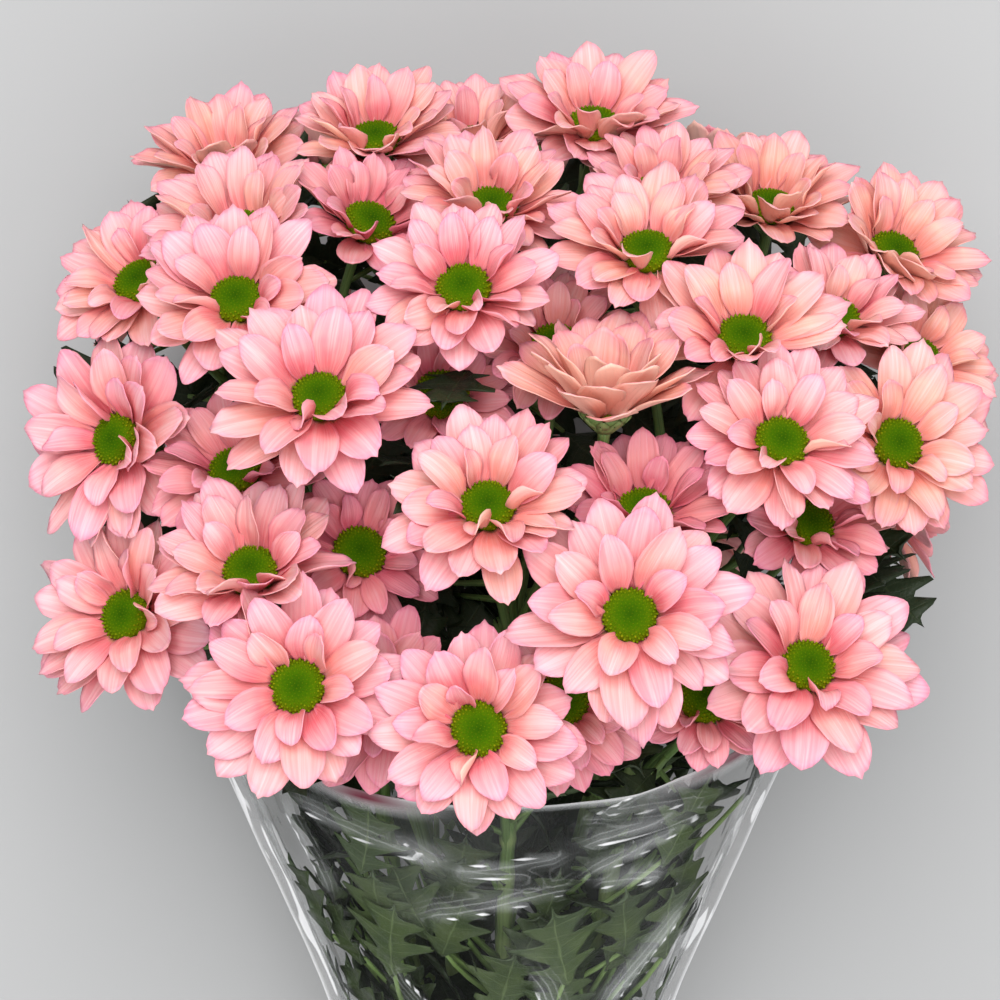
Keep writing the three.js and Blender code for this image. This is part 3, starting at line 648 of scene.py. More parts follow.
def petal_material(settings):
    material, tree, shader = fresh_material("Petal")
    along, across = attribute(tree, "along"), attribute(tree, "across")
    seed, peachy = attribute(tree, "seed"), attribute(tree, "peachy")
    under, deep = attribute(tree, "under"), attribute(tree, "deep")
    patches = mottled(tree, 70.0, low=0.36, high=0.64)
    veins = effect(tree, vein_group(), Along=along, Across=across, Seed=seed, Lines=7.0, Waver=1.0)
    fine = effect(tree, vein_group(), Along=along, Across=across, Seed=seed, Lines=20.0, Waver=1.6)
    wander = maths(tree, "MULTIPLY_ADD", patches, 0.16, -0.08)
    place = maths(tree, "ADD", along, wander)
    # Along each petal: brownish and dark coral at the root, partly the petal's own colour and partly painted
    # shade where petals overlap, then the pink or peach of the middle and the tip's colour
    pink = ramp(tree, place, [
        (0.0, linear(190, 130, 60)), (0.07, settings.coral), (0.27, linear(234, 112, 124)),
        (0.6, settings.pink), (0.97, linear(250, 188, 208)),
    ])
    peach = ramp(tree, place, [
        (0.0, linear(190, 140, 60)), (0.08, linear(230, 112, 96)), (0.32, linear(242, 144, 122)),
        (0.64, settings.peach), (0.98, linear(250, 170, 172)),
    ])
    own = maths(tree, "MULTIPLY_ADD", seed, 0.8, -0.4)
    share = maths(tree, "ADD", peachy, own)
    patch_share = maths(tree, "MULTIPLY_ADD", patches, 0.3, share, clamp=True)
    colour = blended(tree, patch_share, pink, peach)
    faded = maths(tree, "FRACT", times(tree, seed, 7.3))
    faded = times(tree, faded, ranged(tree, along, 0.2, 0.95, 0.05, 0.5))
    colour = blended(tree, faded, colour, linear(250, 212, 218))
    edge = ranged(tree, maths(tree, "ABSOLUTE", across), 0.8, 1.0)
    point = ranged(tree, along, 0.86, 1.0)
    rim = larger(tree, times(tree, edge, 0.4), times(tree, point, 0.8))
    blush = times(tree, rim, ranged(tree, fine, 0.0, 1.0, 0.45, 0.9))
    colour = blended(tree, blush, colour, settings.tip)
    middle = times(tree, ranged(tree, maths(tree, "ABSOLUTE", across), 0.6, 0.0),
                   ranged(tree, along, 0.2, 0.6, 0.0, 0.4))
    pale = times(tree, larger(tree, middle, 0.18), maths(tree, "ADD", fine, seed))
    colour = blended(tree, pale, colour, linear(255, 222, 220))
    lines = times(tree, veins, 0.3)
    line_colour = blended(tree, patch_share, linear(234, 118, 138), linear(240, 146, 122))
    colour = blended(tree, lines, colour, line_colour)
    # Backs of the petals: their own paler colour, and on peachy heads a further lift toward cream, partly the
    # real paler backs and partly painted light on faces turned from the lamps
    pink_back = times(tree, under, ranged(tree, patch_share, 0.3, 1.0, 0.42, 0.1))
    back = blended(tree, pink_back, colour, settings.under)
    back = blended(tree, times(tree, under, patch_share), back, linear(255, 214, 190))
    # Painted shade: heads set far in the bunch are mixed toward a darker, mauver red
    shade_share = times(tree, deep, 0.5)
    colour = blended(tree, shade_share, back, linear(222, 92, 132))
    put(
        tree, shader, Base_Color=toned(tree, colour, PETAL_TONE),
        Roughness=ranged(tree, patches, 0, 1, 0.48, 0.6), Normal=bump(tree, veins, 0.4, 0.0002),
        Specular_IOR_Level=0.3,
    )
    return material


def disc_material(settings):
    material, tree, shader = fresh_material("Disc florets")
    outward, top = attribute(tree, "outward"), attribute(tree, "top")
    seed = attribute(tree, "seed")
    body = ramp(tree, outward, [
        (0.0, linear(46, 84, 1)), (0.45, settings.disc), (0.8, linear(88, 118, 2)), (1.0, settings.rim),
    ])
    yellow = times(tree, ranged(tree, outward, 0.45, 1.0), top)
    yellow = times(tree, yellow, ranged(tree, seed, 0.35, 0.9, 0.15, 0.95))
    colour = blended(tree, yellow, body, linear(172, 164, 24))
    colour = blended(tree, times(tree, top, 0.4), colour, linear(128, 152, 12))
    grain = mottled(tree, 1600.0)
    colour = blended(tree, times(tree, grain, 0.3), colour, linear(36, 74, 4))
    put(
        tree, shader, Base_Color=toned(tree, colour, GREEN_TONE), Roughness=0.9, Specular_IOR_Level=0.04,
        Normal=bump(tree, grain, 0.4, 0.0002),
    )
    return material


def leaf_material(settings):
    material, tree, shader = fresh_material("Leaf")
    along, across = attribute(tree, "along"), attribute(tree, "across")
    seed, under = attribute(tree, "seed"), attribute(tree, "under")
    patches = mottled(tree, 90.0, low=0.34, high=0.66)
    top = blended(tree, patches, settings.leaf, linear(74, 90, 46))
    top = blended(tree, times(tree, seed, 0.4), top, linear(58, 76, 46))
    colour = blended(tree, under, top, settings.leaf_back)
    width = maths(tree, "ABSOLUTE", across)
    rib = ranged(tree, width, 0.07, 0.0)
    branch = maths(tree, "SINE", times(tree, maths(tree, "SUBTRACT", along, 0.02), 50.3))
    branch = times(tree, ranged(tree, branch, 0.95, 1.0), ranged(tree, width, 0.95, 0.5))
    pale = larger(tree, rib, times(tree, branch, 0.7))
    colour = blended(tree, times(tree, pale, 0.5), colour, linear(120, 138, 92))
    # Painted shade: leaves set far in the bunch are darkened toward near-black green
    colour = blended(tree, times(tree, attribute(tree, "deep"), 0.9), colour, linear(10, 20, 9))
    cells = mottled(tree, 900.0)
    relief = maths(tree, "SUBTRACT", times(tree, cells, 0.4), pale)
    put(
        tree, shader, Base_Color=toned(tree, colour, GREEN_TONE),
        Roughness=ranged(tree, cells, 0, 1, 0.46, 0.6),
        Normal=bump(tree, relief, 0.5, 0.0005), Specular_IOR_Level=0.3,
    )
    return material


def stem_material(settings):
    material, tree, shader = fresh_material("Stem")
    along, around, joint = (attribute(tree, n) for n in ("along", "around", "joint"))
    fibres = effect(tree, vein_group(), Along=along, Across=around, Seed=0.3, Lines=26.0, Waver=6.0)
    patches = mottled(tree, 60.0, 3.0, low=0.35, high=0.65)
    colour = blended(tree, fibres, settings.stem, linear(86, 118, 52))
    colour = blended(tree, times(tree, patches, 0.4), colour, linear(128, 156, 96))
    colour = blended(tree, times(tree, joint, 0.6), colour, linear(168, 186, 122))
    put(
        tree, shader, Base_Color=toned(tree, colour, GREEN_TONE),
        Roughness=ranged(tree, patches, 0, 1, 0.45, 0.6),
        Normal=bump(tree, fibres, 0.4, 0.0003), Specular_IOR_Level=0.4,
    )
    return material


def film_material(settings):
    material, tree, shader = fresh_material("Clear film")
    crease, veil, weld = (attribute(tree, name) for name in ("crease", "veil", "weld"))
    edge, glow, side = (attribute(tree, name) for name in ("edge", "glow", "side"))
    ripple = mottled(tree, 60.0, low=0.2, high=0.8)
    strands = effect(tree, vein_group(), Along=attribute(tree, "down"), Across=attribute(tree, "around"),
                     Seed=0.4, Lines=17.0, Waver=4.5)
    patches = mottled(tree, 18.0, 3.0, low=0.4, high=0.66)
    facing = node(tree, "LayerWeight", {"Blend": 0.3}).outputs["Facing"]
    grazing = ranged(tree, facing, 0.5, 1.0)
    # Painted sheen, standing in for reflections on the film: milky pleats beside each crease, soft patches,
    # and the two sides
    wander = maths(tree, "MULTIPLY_ADD", ripple, 2.4, times(tree, crease, 3.1))
    pleats = ranged(tree, maths(tree, "SINE", wander), 0.55, 1.0)
    sheen_strength = maths(tree, "MULTIPLY_ADD", pleats, 0.14, maths(tree, "MULTIPLY_ADD", patches, 0.14, 0.03))
    soft = maths(tree, "MULTIPLY_ADD", veil, sheen_strength, times(tree, patches, 0.02))
    soft = maths(tree, "MULTIPLY_ADD", side, maths(tree, "MULTIPLY_ADD", patches, 0.14, 0.04), soft)
    # Painted highlights: white lines along the creases, streaks along the sides, and the mouth's edge
    glint = times(tree, ranged(tree, strands, 0.8, 1.0), side)
    line = times(tree, ranged(tree, crease, 0.8, 0.3), maths(tree, "MULTIPLY_ADD", ripple, 0.5, 0.25))
    painted_highlight = larger(tree, line, times(tree, glint, 0.5))
    rim = times(tree, edge, ranged(tree, glow, 0.0, 1.0, 0.55, 0.1))
    painted_highlight = larger(tree, painted_highlight, rim)
    # Grey and dark parts: the welds, film seen at a low angle, and the painted reflection of the flowers in
    # the rim
    dull = larger(tree, times(tree, weld, 0.34), times(tree, grazing, 0.24))
    dull = larger(tree, dull, times(tree, glow, 0.9))
    cover = maths(tree, "ADD", larger(tree, painted_highlight, soft), dull)
    cover = maths(tree, "ADD", cover, 0.004, clamp=True)
    # Colour: grey at the welds and at a low angle, the painted dark pink reflection of the flowers in the
    # rim, and white for the painted highlights
    colour = blended(tree, larger(tree, weld, grazing), settings.film, (0.36, 0.36, 0.36))
    colour = blended(tree, glow, colour, linear(112, 36, 56))
    colour = blended(tree, maths(tree, "MULTIPLY", painted_highlight, 1.6, clamp=True), colour, (0.93, 0.93, 0.94))
    put(
        tree, shader, Base_Color=colour, Roughness=0.24, Specular_IOR_Level=0.4, Alpha=cover,
        Normal=bump(tree, ripple, 0.25, 0.0012),
    )
    # Its shadow is that of a clear sheet
    rays = node(tree, "LightPath")
    clear = node(tree, "BsdfTransparent", {"Color": (0.93, 0.93, 0.93, 1)})
    mixed = node(tree, "MixShader", {
        0: rays.outputs["Is Shadow Ray"], 1: shader.outputs[0], 2: clear.outputs[0],
    })
    output = next(n for n in tree.nodes if n.type == "OUTPUT_MATERIAL")
    tree.links.new(mixed.outputs[0], output.inputs[0])
    return material


def rubber_material(settings):
    material, tree, shader = fresh_material("Rubber")
    dust = mottled(tree, 260.0, 4.0, low=0.4)
    grain = mottled(tree, 2400.0)
    colour = blended(tree, dust, settings.rubber, linear(186, 140, 80))
    put(
        tree, shader, Base_Color=colour, Roughness=ranged(tree, grain, 0, 1, 0.55, 0.72),
        Normal=bump(tree, grain, 0.3, 0.0001), Specular_IOR_Level=0.4,
    )
    return material


def floor_material(settings):
    material, tree, shader = fresh_material("Pale floor")
    patches = mottled(tree, 3.0)
    lighter = tuple(min(1.0, c * 1.02) for c in settings.floor)
    colour = blended(tree, patches, tuple(settings.floor), lighter)
    put(tree, shader, Base_Color=colour, Roughness=0.85, Specular_IOR_Level=0.2)
    return material


# ---------------- flowers

# The petal's grid: shares of its length and half width, and at each column how deep the
# furrows are and how far the tip's small teeth stand out
ROWS = np.array([0, 0.12, 0.28, 0.46, 0.64, 0.8, 0.92, 1.0])
COLUMNS = np.array([-1, -0.77, -0.48, -0.22, 0, 0.22, 0.48, 0.77, 1])
FURROWS = np.array([0, 0.3, 1, 0.3, 0, 0.3, 1, 0.3, 0])
TEETH = np.array([0, 0.2, 0.3, -1, 1, -1, 0.3, 0.2, 0])
# Share of its length at which a petal is widest
WIDEST = 0.54
GRID_FACES = grid_quads(len(ROWS), len(COLUMNS)).tolist()


class Head:
    """Place and posture of one flower head, worked out from its line in the list."""

    def __init__(self, index):
        spray, across, above, towards, turn, lift, width, cup = HEADS[index]
        nearer = (SIGHT_DISTANCE - towards) / SIGHT_DISTANCE
        turn, lift = math.radians(turn), math.radians(lift)
        self.index, self.spray, self.width, self.cup, self.towards = index, spray, width, cup, towards
        self.centre = Vector((across * nearer, HEAD_CENTRE_Y, 0))
        self.centre += SIGHT_UP * ((above + SIGHT_DROP) * nearer - SIGHT_DROP) + SIGHT_BACK * towards
        sideways = Vector((math.sin(turn) * math.cos(lift), 0, 0))
        self.facing = sideways + SIGHT_UP * math.sin(lift) + SIGHT_BACK * math.cos(turn) * math.cos(lift)
        self.facing.normalize()
        tilt = Vector((0, 0, 1)).rotation_difference(self.facing).to_matrix()
        self.matrix = np.array(tilt)
        self.up = self.matrix.T @ np.array(SIGHT_UP)
        self.random = np.random.default_rng(700 + index)

    def place(self, points):
        return np.asarray(points) @ self.matrix.T + np.array(self.centre)


def petal_outline(share):
    """A petal's half width along its length, as a share of its greatest half width."""
    low = 0.3 + 0.7 * np.sin(math.pi / 2 * np.clip(share / WIDEST, 0, 1)) ** 1.1
    high = np.sqrt(np.clip(1 - ((share - WIDEST) / (1 - WIDEST)) ** 2, 0.05, 1))
    return np.where(share < WIDEST, low, high)


def petal_surface(spec, azimuth):
    """The grid of points in the middle of one petal, in the flower's frame."""
    u, v = ROWS[:, None], COLUMNS[None, :]
    drop = spec["round"] * v**2 + spec["point"] * np.abs(v)
    share = u * (1 - drop * u**3) + spec["teeth"] * TEETH * u**8
    edge = u * (1 - (spec["round"] + spec["point"]) * u**3)
    half = spec["width"] / 2 * petal_outline(edge)
    t = np.linspace(0, 1.1, 34)
    angle = spec["lift"] + spec["curl"] * (2 * t - 1) + spec["tip"] * np.clip(t - 0.72, 0, 1) / 0.28
    angle = np.radians(np.minimum(angle, spec["steepest"]))
    step = spec["length"] * (t[1] - t[0])
    out = np.concatenate([[0], np.cumsum(np.cos(angle[1:]))]) * step
    rise = np.concatenate([[0], np.cumsum(np.sin(angle[1:]))]) * step
    drift = np.concatenate([[0], np.cumsum(np.sin(spec["bend"] * t[1:]))]) * step
    heading = np.interp(share, t, angle)
    cup = spec["cup"] + (1.35 - spec["cup"]) * np.exp(-share / 0.13)
    x = half * np.sin(cup * v) / cup
    h = half * (1 - np.cos(cup * v)) / cup
    h = h - spec["furrow"] * FURROWS * np.sin(math.pi * np.clip(share, 0, 1)) ** 0.6
    h = h + spec["wave"] * np.sin(2 * math.pi * (share * 1.4 + spec["phase"])) * v * np.abs(v) ** 1.6
    roll = spec["roll"] + spec["twist"] * share
    out_share, rise_share = -np.sin(heading), np.cos(heading)
    side = np.sin(roll) * x + np.cos(roll) * h
    radial = spec["radius"] + np.interp(share, t, out) + out_share * side
    aside = np.interp(share, t, drift) + np.cos(roll) * x - np.sin(roll) * h
    height = spec["height"] + np.interp(share, t, rise) + rise_share * side
    c, s = math.cos(azimuth), math.sin(azimuth)
    return np.stack([radial * c - aside * s, radial * s + aside * c, height], -1)


def kept_above_table(points):
    """Points of the bunch's frame, with any that would sink into the table laid on it."""
    height = points @ TABLE_UP + MOUTH_HEIGHT
    lowest = 0.35
    soft = lowest + 1.2 * np.log1p(np.exp((height - lowest) / 1.2))
    return points + (np.where(height < 6, soft, height) - height)[..., None] * TABLE_UP


def tree_of(points, faces):
    return BVHTree.FromPolygons(points.reshape(-1, 3).tolist(), faces, all_triangles=False)


class Crowd:
    """What already stands in the bunch, so that a new petal or leaf can keep clear of it."""

    def __init__(self):
        self.things = []

    def add(self, points, faces, owner=None):
        points = points.reshape(-1, 3)
        low, high = points.min(0), points.max(0)
        self.things.append((low, high, tree_of(points, faces), owner))

    def meets(self, points, tree, owner=None):
        low, high = points.reshape(-1, 3).min(0), points.reshape(-1, 3).max(0)
        for other_low, other_high, other, name in self.things:
            if name is not None and name == owner:
                continue
            if (low > other_high).any() or (high < other_low).any():
                continue
            if tree.overlap(other):
                return True
        return False


crowd = Crowd()
# The plain outline of a calyx and disc, which petals of other flowers keep clear of
HEART = [(0, -8), (2.2, -7.6), (8.2, -0.6), (8.6, 3), (7.2, 5.4), (0, 6.2)]
# What a petal that meets others tries: small and large bends in degrees, shares of its length
SMALL_BENDS = [0, -3, 3, -6, 6]
LARGE_BENDS = [0, 6, -6, 12, -12, 19, -19, 27, -27, 36, -36]
SHORTER = [1, 0.9, 0.78, 0.66]
# The part of a petal past its root, which keeps clear of the flower's other petals
FREE_PART = 3 * len(COLUMNS)
STEEPEST_PETAL = 80
FREE_FACES = [face for face in GRID_FACES if min(face) >= FREE_PART]


def grown_petal(head, azimuth, spec, own):
    """The first way of bending or shortening that keeps a petal clear, or else None."""
    for share in SHORTER:
        for bend in LARGE_BENDS:
            best = None
            for small in SMALL_BENDS:
                wish = dict(spec, lift=spec["lift"] + bend + small, length=spec["length"] * share,
                            width=spec["width"] * math.sqrt(share))
                if wish["lift"] > STEEPEST_PETAL:
                    continue
                surface = kept_above_table(head.place(petal_surface(wish, azimuth)))
                if crowd.meets(surface, tree_of(surface, GRID_FACES), head.index):
                    if small == 0:
                        break
                    continue
                free = tree_of(surface, FREE_FACES)
                if best is None:
                    best = surface, free
                if not any(free.overlap(other) for other in own):
                    best = surface, free
                    break
            if best is not None:
                own.append(best[1])
                return best[0]
    return None


def petal_wish(head, inwards, azimuth):
    """How a petal would like to grow, from 0 for the outermost to 1 for the innermost."""
    random = head.random

    def at(shares):
        return float(np.interp(inwards, WAY_IN, shares))

    upright = float(head.up[0] * math.cos(azimuth) + head.up[1] * math.sin(azimuth))
    reach = (head.width * 0.52 - 7.5) / math.cos(math.radians(LIFT[0] + 2 + head.cup))
    lower = max(0.0, -upright)
    inner = max(0.0, inwards - 0.7) / 0.3
    curly = inner * (14 * lower + (14 if random.uniform(0, 1) < 0.3 else 0))
    return {
        "lift": at(LIFT) + head.cup * (1 + 0.4 * inwards) + DROOP * upright + random.normal(0, 4.5),
        "length": reach * at(LENGTH) * random.uniform(0.86, 1.07),
        "width": reach * at(WIDTH) * random.uniform(0.9, 1.1),
        "curl": at(CURL) + random.uniform(-6, 6) - curly + 1.6 * inner * head.cup,
        "tip": random.uniform(-14, 12),
        "steepest": 72 + head.cup + random.uniform(-6, 6),
        "cup": max(0.15, at(CUP) + random.uniform(-0.2, 0.2) + 0.3 * lower * inner),
        "roll": random.normal(0, 0.13) * (1 + 1.5 * inner),
        "twist": random.normal(0, 0.26) * (1 + inner),
        "bend": random.normal(0, 0.14),
        "furrow": random.uniform(0.35, 0.75),
        "wave": random.uniform(0.2, 0.9),
        "phase": random.uniform(0, 1),
        "round": random.uniform(0.11, 0.17),
        "point": random.uniform(0.03, 0.08),
        "teeth": random.uniform(-0.006, 0.02),
        "radius": at(ROOT_RADIUS),
        "height": at(ROOT_HEIGHT),
    }


def build_bloom(head, settings, material):
    """All the ray petals of one head as one piece."""
    random = head.random
    thickness = settings.thickness / MM
    shape = Shape("along", "across", "seed", "peachy", "under", "deep")
    peachy = PEACHY.get(head.index + 1, 0.12)
    # How much painted shade this head's petals get
    deep = SHADED_HEADS.get(head.index + 1, 0.0)
    own, faces, every = [], [], []
    along = np.repeat(ROWS, len(COLUMNS))
    across = np.tile(COLUMNS, len(ROWS))
    thin = thickness * (1 - 0.45 * np.abs(COLUMNS) ** 2)[None, :] * np.ones((len(ROWS), 1))
    count = PETALS - (2 if head.width < 59 else 0)
    start = random.uniform(0, 2 * math.pi)
    for i in reversed(range(count)):
        azimuth = start + i * GOLDEN_TURN + random.uniform(-0.13, 0.13)
        surface = grown_petal(head, azimuth, petal_wish(head, i / (count - 1), azimuth), own)
        seed = random.uniform(0, 1)
        if surface is None:
            continue
        points, quads, under = shell(surface, thin)
        shape.add(points, quads, along=np.tile(along, 2), across=np.tile(across, 2), seed=seed,
                  peachy=peachy, under=under, deep=deep)
        faces += (np.array(GRID_FACES) + len(every) * surface[..., 0].size).tolist()
        every.append(surface.reshape(-1, 3))
    crowd.add(np.concatenate(every), faces, head.index)
    name = f"bloom_{head.index + 1:02d}"
    shape.piece("petals" + name[5:], material, "petal", name)


# ---------------- stems and discs


def stem_line(angle, ring, end):
    """Points along a main stem and the share of its length at each."""
    across, above = ring * math.cos(math.radians(angle)), ring * math.sin(math.radians(angle))
    knots = [np.array([radius * across, y, radius * above]) for radius, y in STEM_WAY]
    knots.append(np.array(end, float))
    knots = [2 * knots[0] - knots[1], *knots, 2 * knots[-1] - knots[-2]]
    line = []
    for p0, p1, p2, p3 in zip(knots, knots[1:], knots[2:], knots[3:]):
        d0, d1, d2 = (math.sqrt(np.linalg.norm(q - p)) for p, q in ((p0, p1), (p1, p2), (p2, p3)))
        m1 = ((p1 - p0) / d0 - (p2 - p0) / (d0 + d1) + (p2 - p1) / d1) * d1
        m2 = ((p2 - p1) / d1 - (p3 - p1) / (d1 + d2) + (p3 - p2) / d2) * d1
        t = np.linspace(0, 1, 60)[:, None]
        line.append((2 * t**3 - 3 * t**2 + 1) * p1 + (t**3 - 2 * t**2 + t) * m1
                    + (3 * t**2 - 2 * t**3) * p2 + (t**3 - t**2) * m2)
    line = np.concatenate([piece[: None if k == 3 else -1] for k, piece in enumerate(line)])
    length = np.concatenate([[0], np.cumsum(np.linalg.norm(np.diff(line, axis=0), axis=1))])
    return line, length / length[-1], length[-1]


STEMS = {name: stem_line(*spray) for name, spray in SPRAYS.items()}


def on_stem(spray, y):
    """The point and the direction of a stem at a distance along the bunch."""
    line = STEMS[spray][0]
    point = np.array([np.interp(y, line[:, 1], line[:, k]) for k in range(3)])
    k = int(np.clip(np.searchsorted(line[:, 1], y), 1, len(line) - 1))
    return point, unit(line[k] - line[k - 1])


def add_stem(shape, spray, joints):
    """One main stem, ribbed, with a thicker paler joint wherever a leaf or stalk leaves it."""
    line, share, length = STEMS[spray]
    steps = np.linspace(0, 1, int(length / 3.6))
    centres = np.stack([np.interp(steps, share, line[:, k]) for k in range(3)], -1)
    radii = STEM_RADIUS + (STEM_TIP_RADIUS - STEM_RADIUS) * steps
    joint = np.zeros(len(steps))
    for y in joints:
        joint = np.maximum(joint, np.exp(-(((centres[:, 1] - y) / 2.6) ** 2)))
    points, quads, tris, along, around = tube(centres, radii + 0.55 * joint, STEM_SIDES, ribs=0.05)
    joint = np.concatenate([np.repeat(joint, STEM_SIDES), [0, 0]])
    shape.add(points, quads, tris, along=along, around=around, joint=joint)


def stalk_line(head):
    """The curve of a flower's stalk, from its stem to under its disc."""
    end = STEMS[head.spray][0][-1][1]
    y = min(max(head.centre.y - STALK_RISE, LOWEST_BRANCH_Y), end - 3)
    start, along = on_stem(head.spray, y)
    facing = np.array(head.facing)
    base = np.array(head.centre) + facing * STALK_TOP
    reach = np.linalg.norm(base - start)
    t = np.linspace(0, 1, 18)[:, None]
    first, second = start + along * STALK_HANDLE * reach, base - facing * STALK_HANDLE * reach
    line = (1 - t) ** 3 * start + 3 * (1 - t) ** 2 * t * first + 3 * (1 - t) * t**2 * second + t**3 * base
    return np.concatenate([line, [base + facing * 1.5]]), y


# Outlines of the calyx and the disc, as radius and height
CALYX = [(0, -8), (1.6, -7.6), (2.6, -6.2), (5.2, -3.6), (7.6, -1.2), (8.1, 0.4), (0, 1.2)]
DOME = [
    (0, 0.3), (7.4, 0.6), (8.3, 1.8), (8.55, 3.1), (8.2, 4.4), (7.2, 5.4), (5.2, 6.1), (2.6, 6.3), (0, 6.2),
]
# The two rows of bracts: how many, lower and upper end, width
BRACTS = [(10, -6.4, -1.6, 3.8), (9, -3.9, 0.9, 4.4)]
FLORET_SIDES = 5
FLORET_TURN = 2.399963
# Florets outside this share of the disc's radius stand open, with a flat top
OPEN_FLORETS = 0.72
DISC_EDGE = 8.3


def add_stalk(shape, head):
    line, _ = stalk_line(head)
    radii = np.linspace(1.75, 1.45, len(line))
    radii[-3:] = [1.6, 1.9, 2.3]
    points, quads, tris, along, around = tube(line, radii, 8, ribs=0.04, rib_count=4)
    shape.add(points, quads, tris, along=along * 0.3, around=around, joint=0.0)


def add_calyx(shape, head):
    """The green cup under the petals, with two rows of small pointed bracts."""
    points, quads, tris = turned(CALYX, 20)
    shape.add(head.place(points), quads, tris, along=0.5, around=0.5, joint=0.15)
    heights, radii = [h for _, h in CALYX[1:-1]], [r for r, _ in CALYX[1:-1]]
    for row, (count, low, high, width) in enumerate(BRACTS):
        for j in range(count):
            turn = (j + row * 0.5 + head.random.uniform(-0.1, 0.1)) * 2 * math.pi / count
            u = np.linspace(0, 1, 4)[:, None]
            v = np.linspace(-1, 1, 3)[None, :]
            z = low + (high - low) * u * (1 - 0.15 * v**2)
            radius = np.interp(z, heights, radii) + 0.45 - 0.25 * v**2
            half = width / 2 * np.sin(math.pi * np.clip(0.25 + 0.68 * u, 0, 0.97)) * np.ones_like(v)
            turns = turn + half * v / np.maximum(radius, 2)
            surface = np.stack([radius * np.cos(turns), radius * np.sin(turns), z + 0 * v], -1)
            bract, faces, _ = shell(surface, 0.35)
            shape.add(head.place(bract), faces, along=0.2, around=0.3, joint=0.3 + 0.3 * row)


def add_disc(shape, head, florets):
    """A dome of tiny florets in spiral order, the outer ones larger and standing out."""
    points, quads, tris = turned(DOME, 18)
    outward = np.hypot(points[:, 0], points[:, 1]) / 8.5
    shape.add(head.place(points), quads, tris, outward=outward, top=0.0, seed=0.5)
    sides = FLORET_SIDES
    around = np.arange(sides)
    ring = around * 2 * math.pi / sides
    after = (around + 1) % sides
    bottom = [[0, 2, 1], [0, 3, 2], [0, 4, 3]]
    wall = np.stack([around, after, after + sides, around + sides], -1)
    cap = np.concatenate([np.stack([around + sides, after + sides, np.full(sides, 2 * sides)], -1), bottom])
    cone = np.concatenate([np.stack([around, after, np.full(sides, sides)], -1), bottom])
    heights, radii = [h for _, h in DOME[3:]], [r for r, _ in DOME[3:]]
    for i in range(florets):
        share = math.sqrt((i + 0.5) / florets)
        turn = i * FLORET_TURN
        radius = share * 8.75
        flat = min(radius, DISC_EDGE)
        height = float(np.interp(flat, radii[::-1], heights[::-1])) - max(0, radius - DISC_EDGE) * 1.6
        lean = 0.95 * share**2.2
        axis = np.array([math.cos(turn) * math.sin(lean), math.sin(turn) * math.sin(lean), math.cos(lean)])
        side = unit(np.cross(axis, [0.3, 0.2, 1.0]))
        across = np.outer(np.cos(ring), side) + np.outer(np.sin(ring), np.cross(axis, side))
        size = 0.46 + 0.12 * share + head.random.uniform(-0.04, 0.04)
        tall = 0.3 + 0.6 * share**3 + head.random.uniform(-0.08, 0.12)
        foot = np.array([flat * math.cos(turn), flat * math.sin(turn), height]) - axis * 0.4
        seed = head.random.uniform(0, 1)
        low = foot + across * size
        if share < OPEN_FLORETS:
            body = np.concatenate([low, [foot + axis * (0.5 + tall)]])
            tops = np.append(np.zeros(sides), 1.0)
            shape.add(head.place(body), None, cone, outward=share, top=tops, seed=seed)
        else:
            high = foot + across * size * 0.75 + axis * (0.4 + tall * 0.6)
            body = np.concatenate([low, high, [foot + axis * (0.45 + tall)]])
            tops = np.concatenate([np.zeros(sides), np.full(sides, 0.55), [1.0]])
            shape.add(head.place(body), wall, cap, outward=share, top=tops, seed=seed)


# ---------------- leaves


def film_radius(angle, y):
    """The film's radius round the bunch's axis, at an angle and a distance along it."""
    swell = MOUTH_SWELL * np.cos(2 * angle)
    top_y, top_radius = SLEEVE_ROWS[0][0] + swell, SLEEVE_ROWS[0][1] + swell
    below = np.interp(y, [row[0] for row in SLEEVE_ROWS[:0:-1]], [row[1] for row in SLEEVE_ROWS[:0:-1]])
    share = (y - SLEEVE_ROWS[1][0]) / (top_y - SLEEVE_ROWS[1][0])
    above = SLEEVE_ROWS[1][1] + (top_radius - SLEEVE_ROWS[1][1]) * share
    return np.where(y > SLEEVE_ROWS[1][0], above, below)


def inside_film(points, room):
    """Points drawn in, where they would come through the film."""
    angle = np.arctan2(points[..., 2], points[..., 0])
    radius = np.hypot(points[..., 0], points[..., 2])
    y = points[..., 1]
    limit = film_radius(angle, np.minimum(y, 24)) - room - 6 * np.abs(np.cos(angle)) ** 8
    limit = limit - 2.2 * np.clip((-140 - y) / 100, 0, 1)
    share = np.where((radius > limit) & (y < 16), limit / np.maximum(radius, 1e-6), 1.0)
    drawn = points.copy()
    drawn[..., 0] *= share
    drawn[..., 2] *= share
    return drawn


# Leaf grids: rows, and shares of the half width at each column
FINE_LEAF = (41, np.array([-1, -0.7, -0.36, 0, 0.36, 0.7, 1]))
PLAIN_LEAF = (17, np.array([-1, -0.5, 0, 0.5, 1]))


def lobed_edge(u, seed):
    """How far a leaf's edge stands from its rib along each sideways vein: lobes with teeth."""
    shift = 0.03 * math.sin(seed * 9)
    edge = 0.1 * np.sin(math.pi * np.clip(u, 0, 1)) ** 0.5
    for middle, reach, half in ((0.2, 0.2, 0.07), (0.5, 0.3, 0.09), (0.8, 0.2, 0.08)):
        edge = edge + reach * np.exp(-(((u - middle - shift) / half) ** 2))
    teeth = np.abs(np.sin(math.pi * (9.5 * u + seed * 0.7))) ** 0.7
    return edge * (0.86 + 0.2 * teeth) * np.clip((1.02 - u) / 0.12, 0, 1) ** 0.7 + 0.006


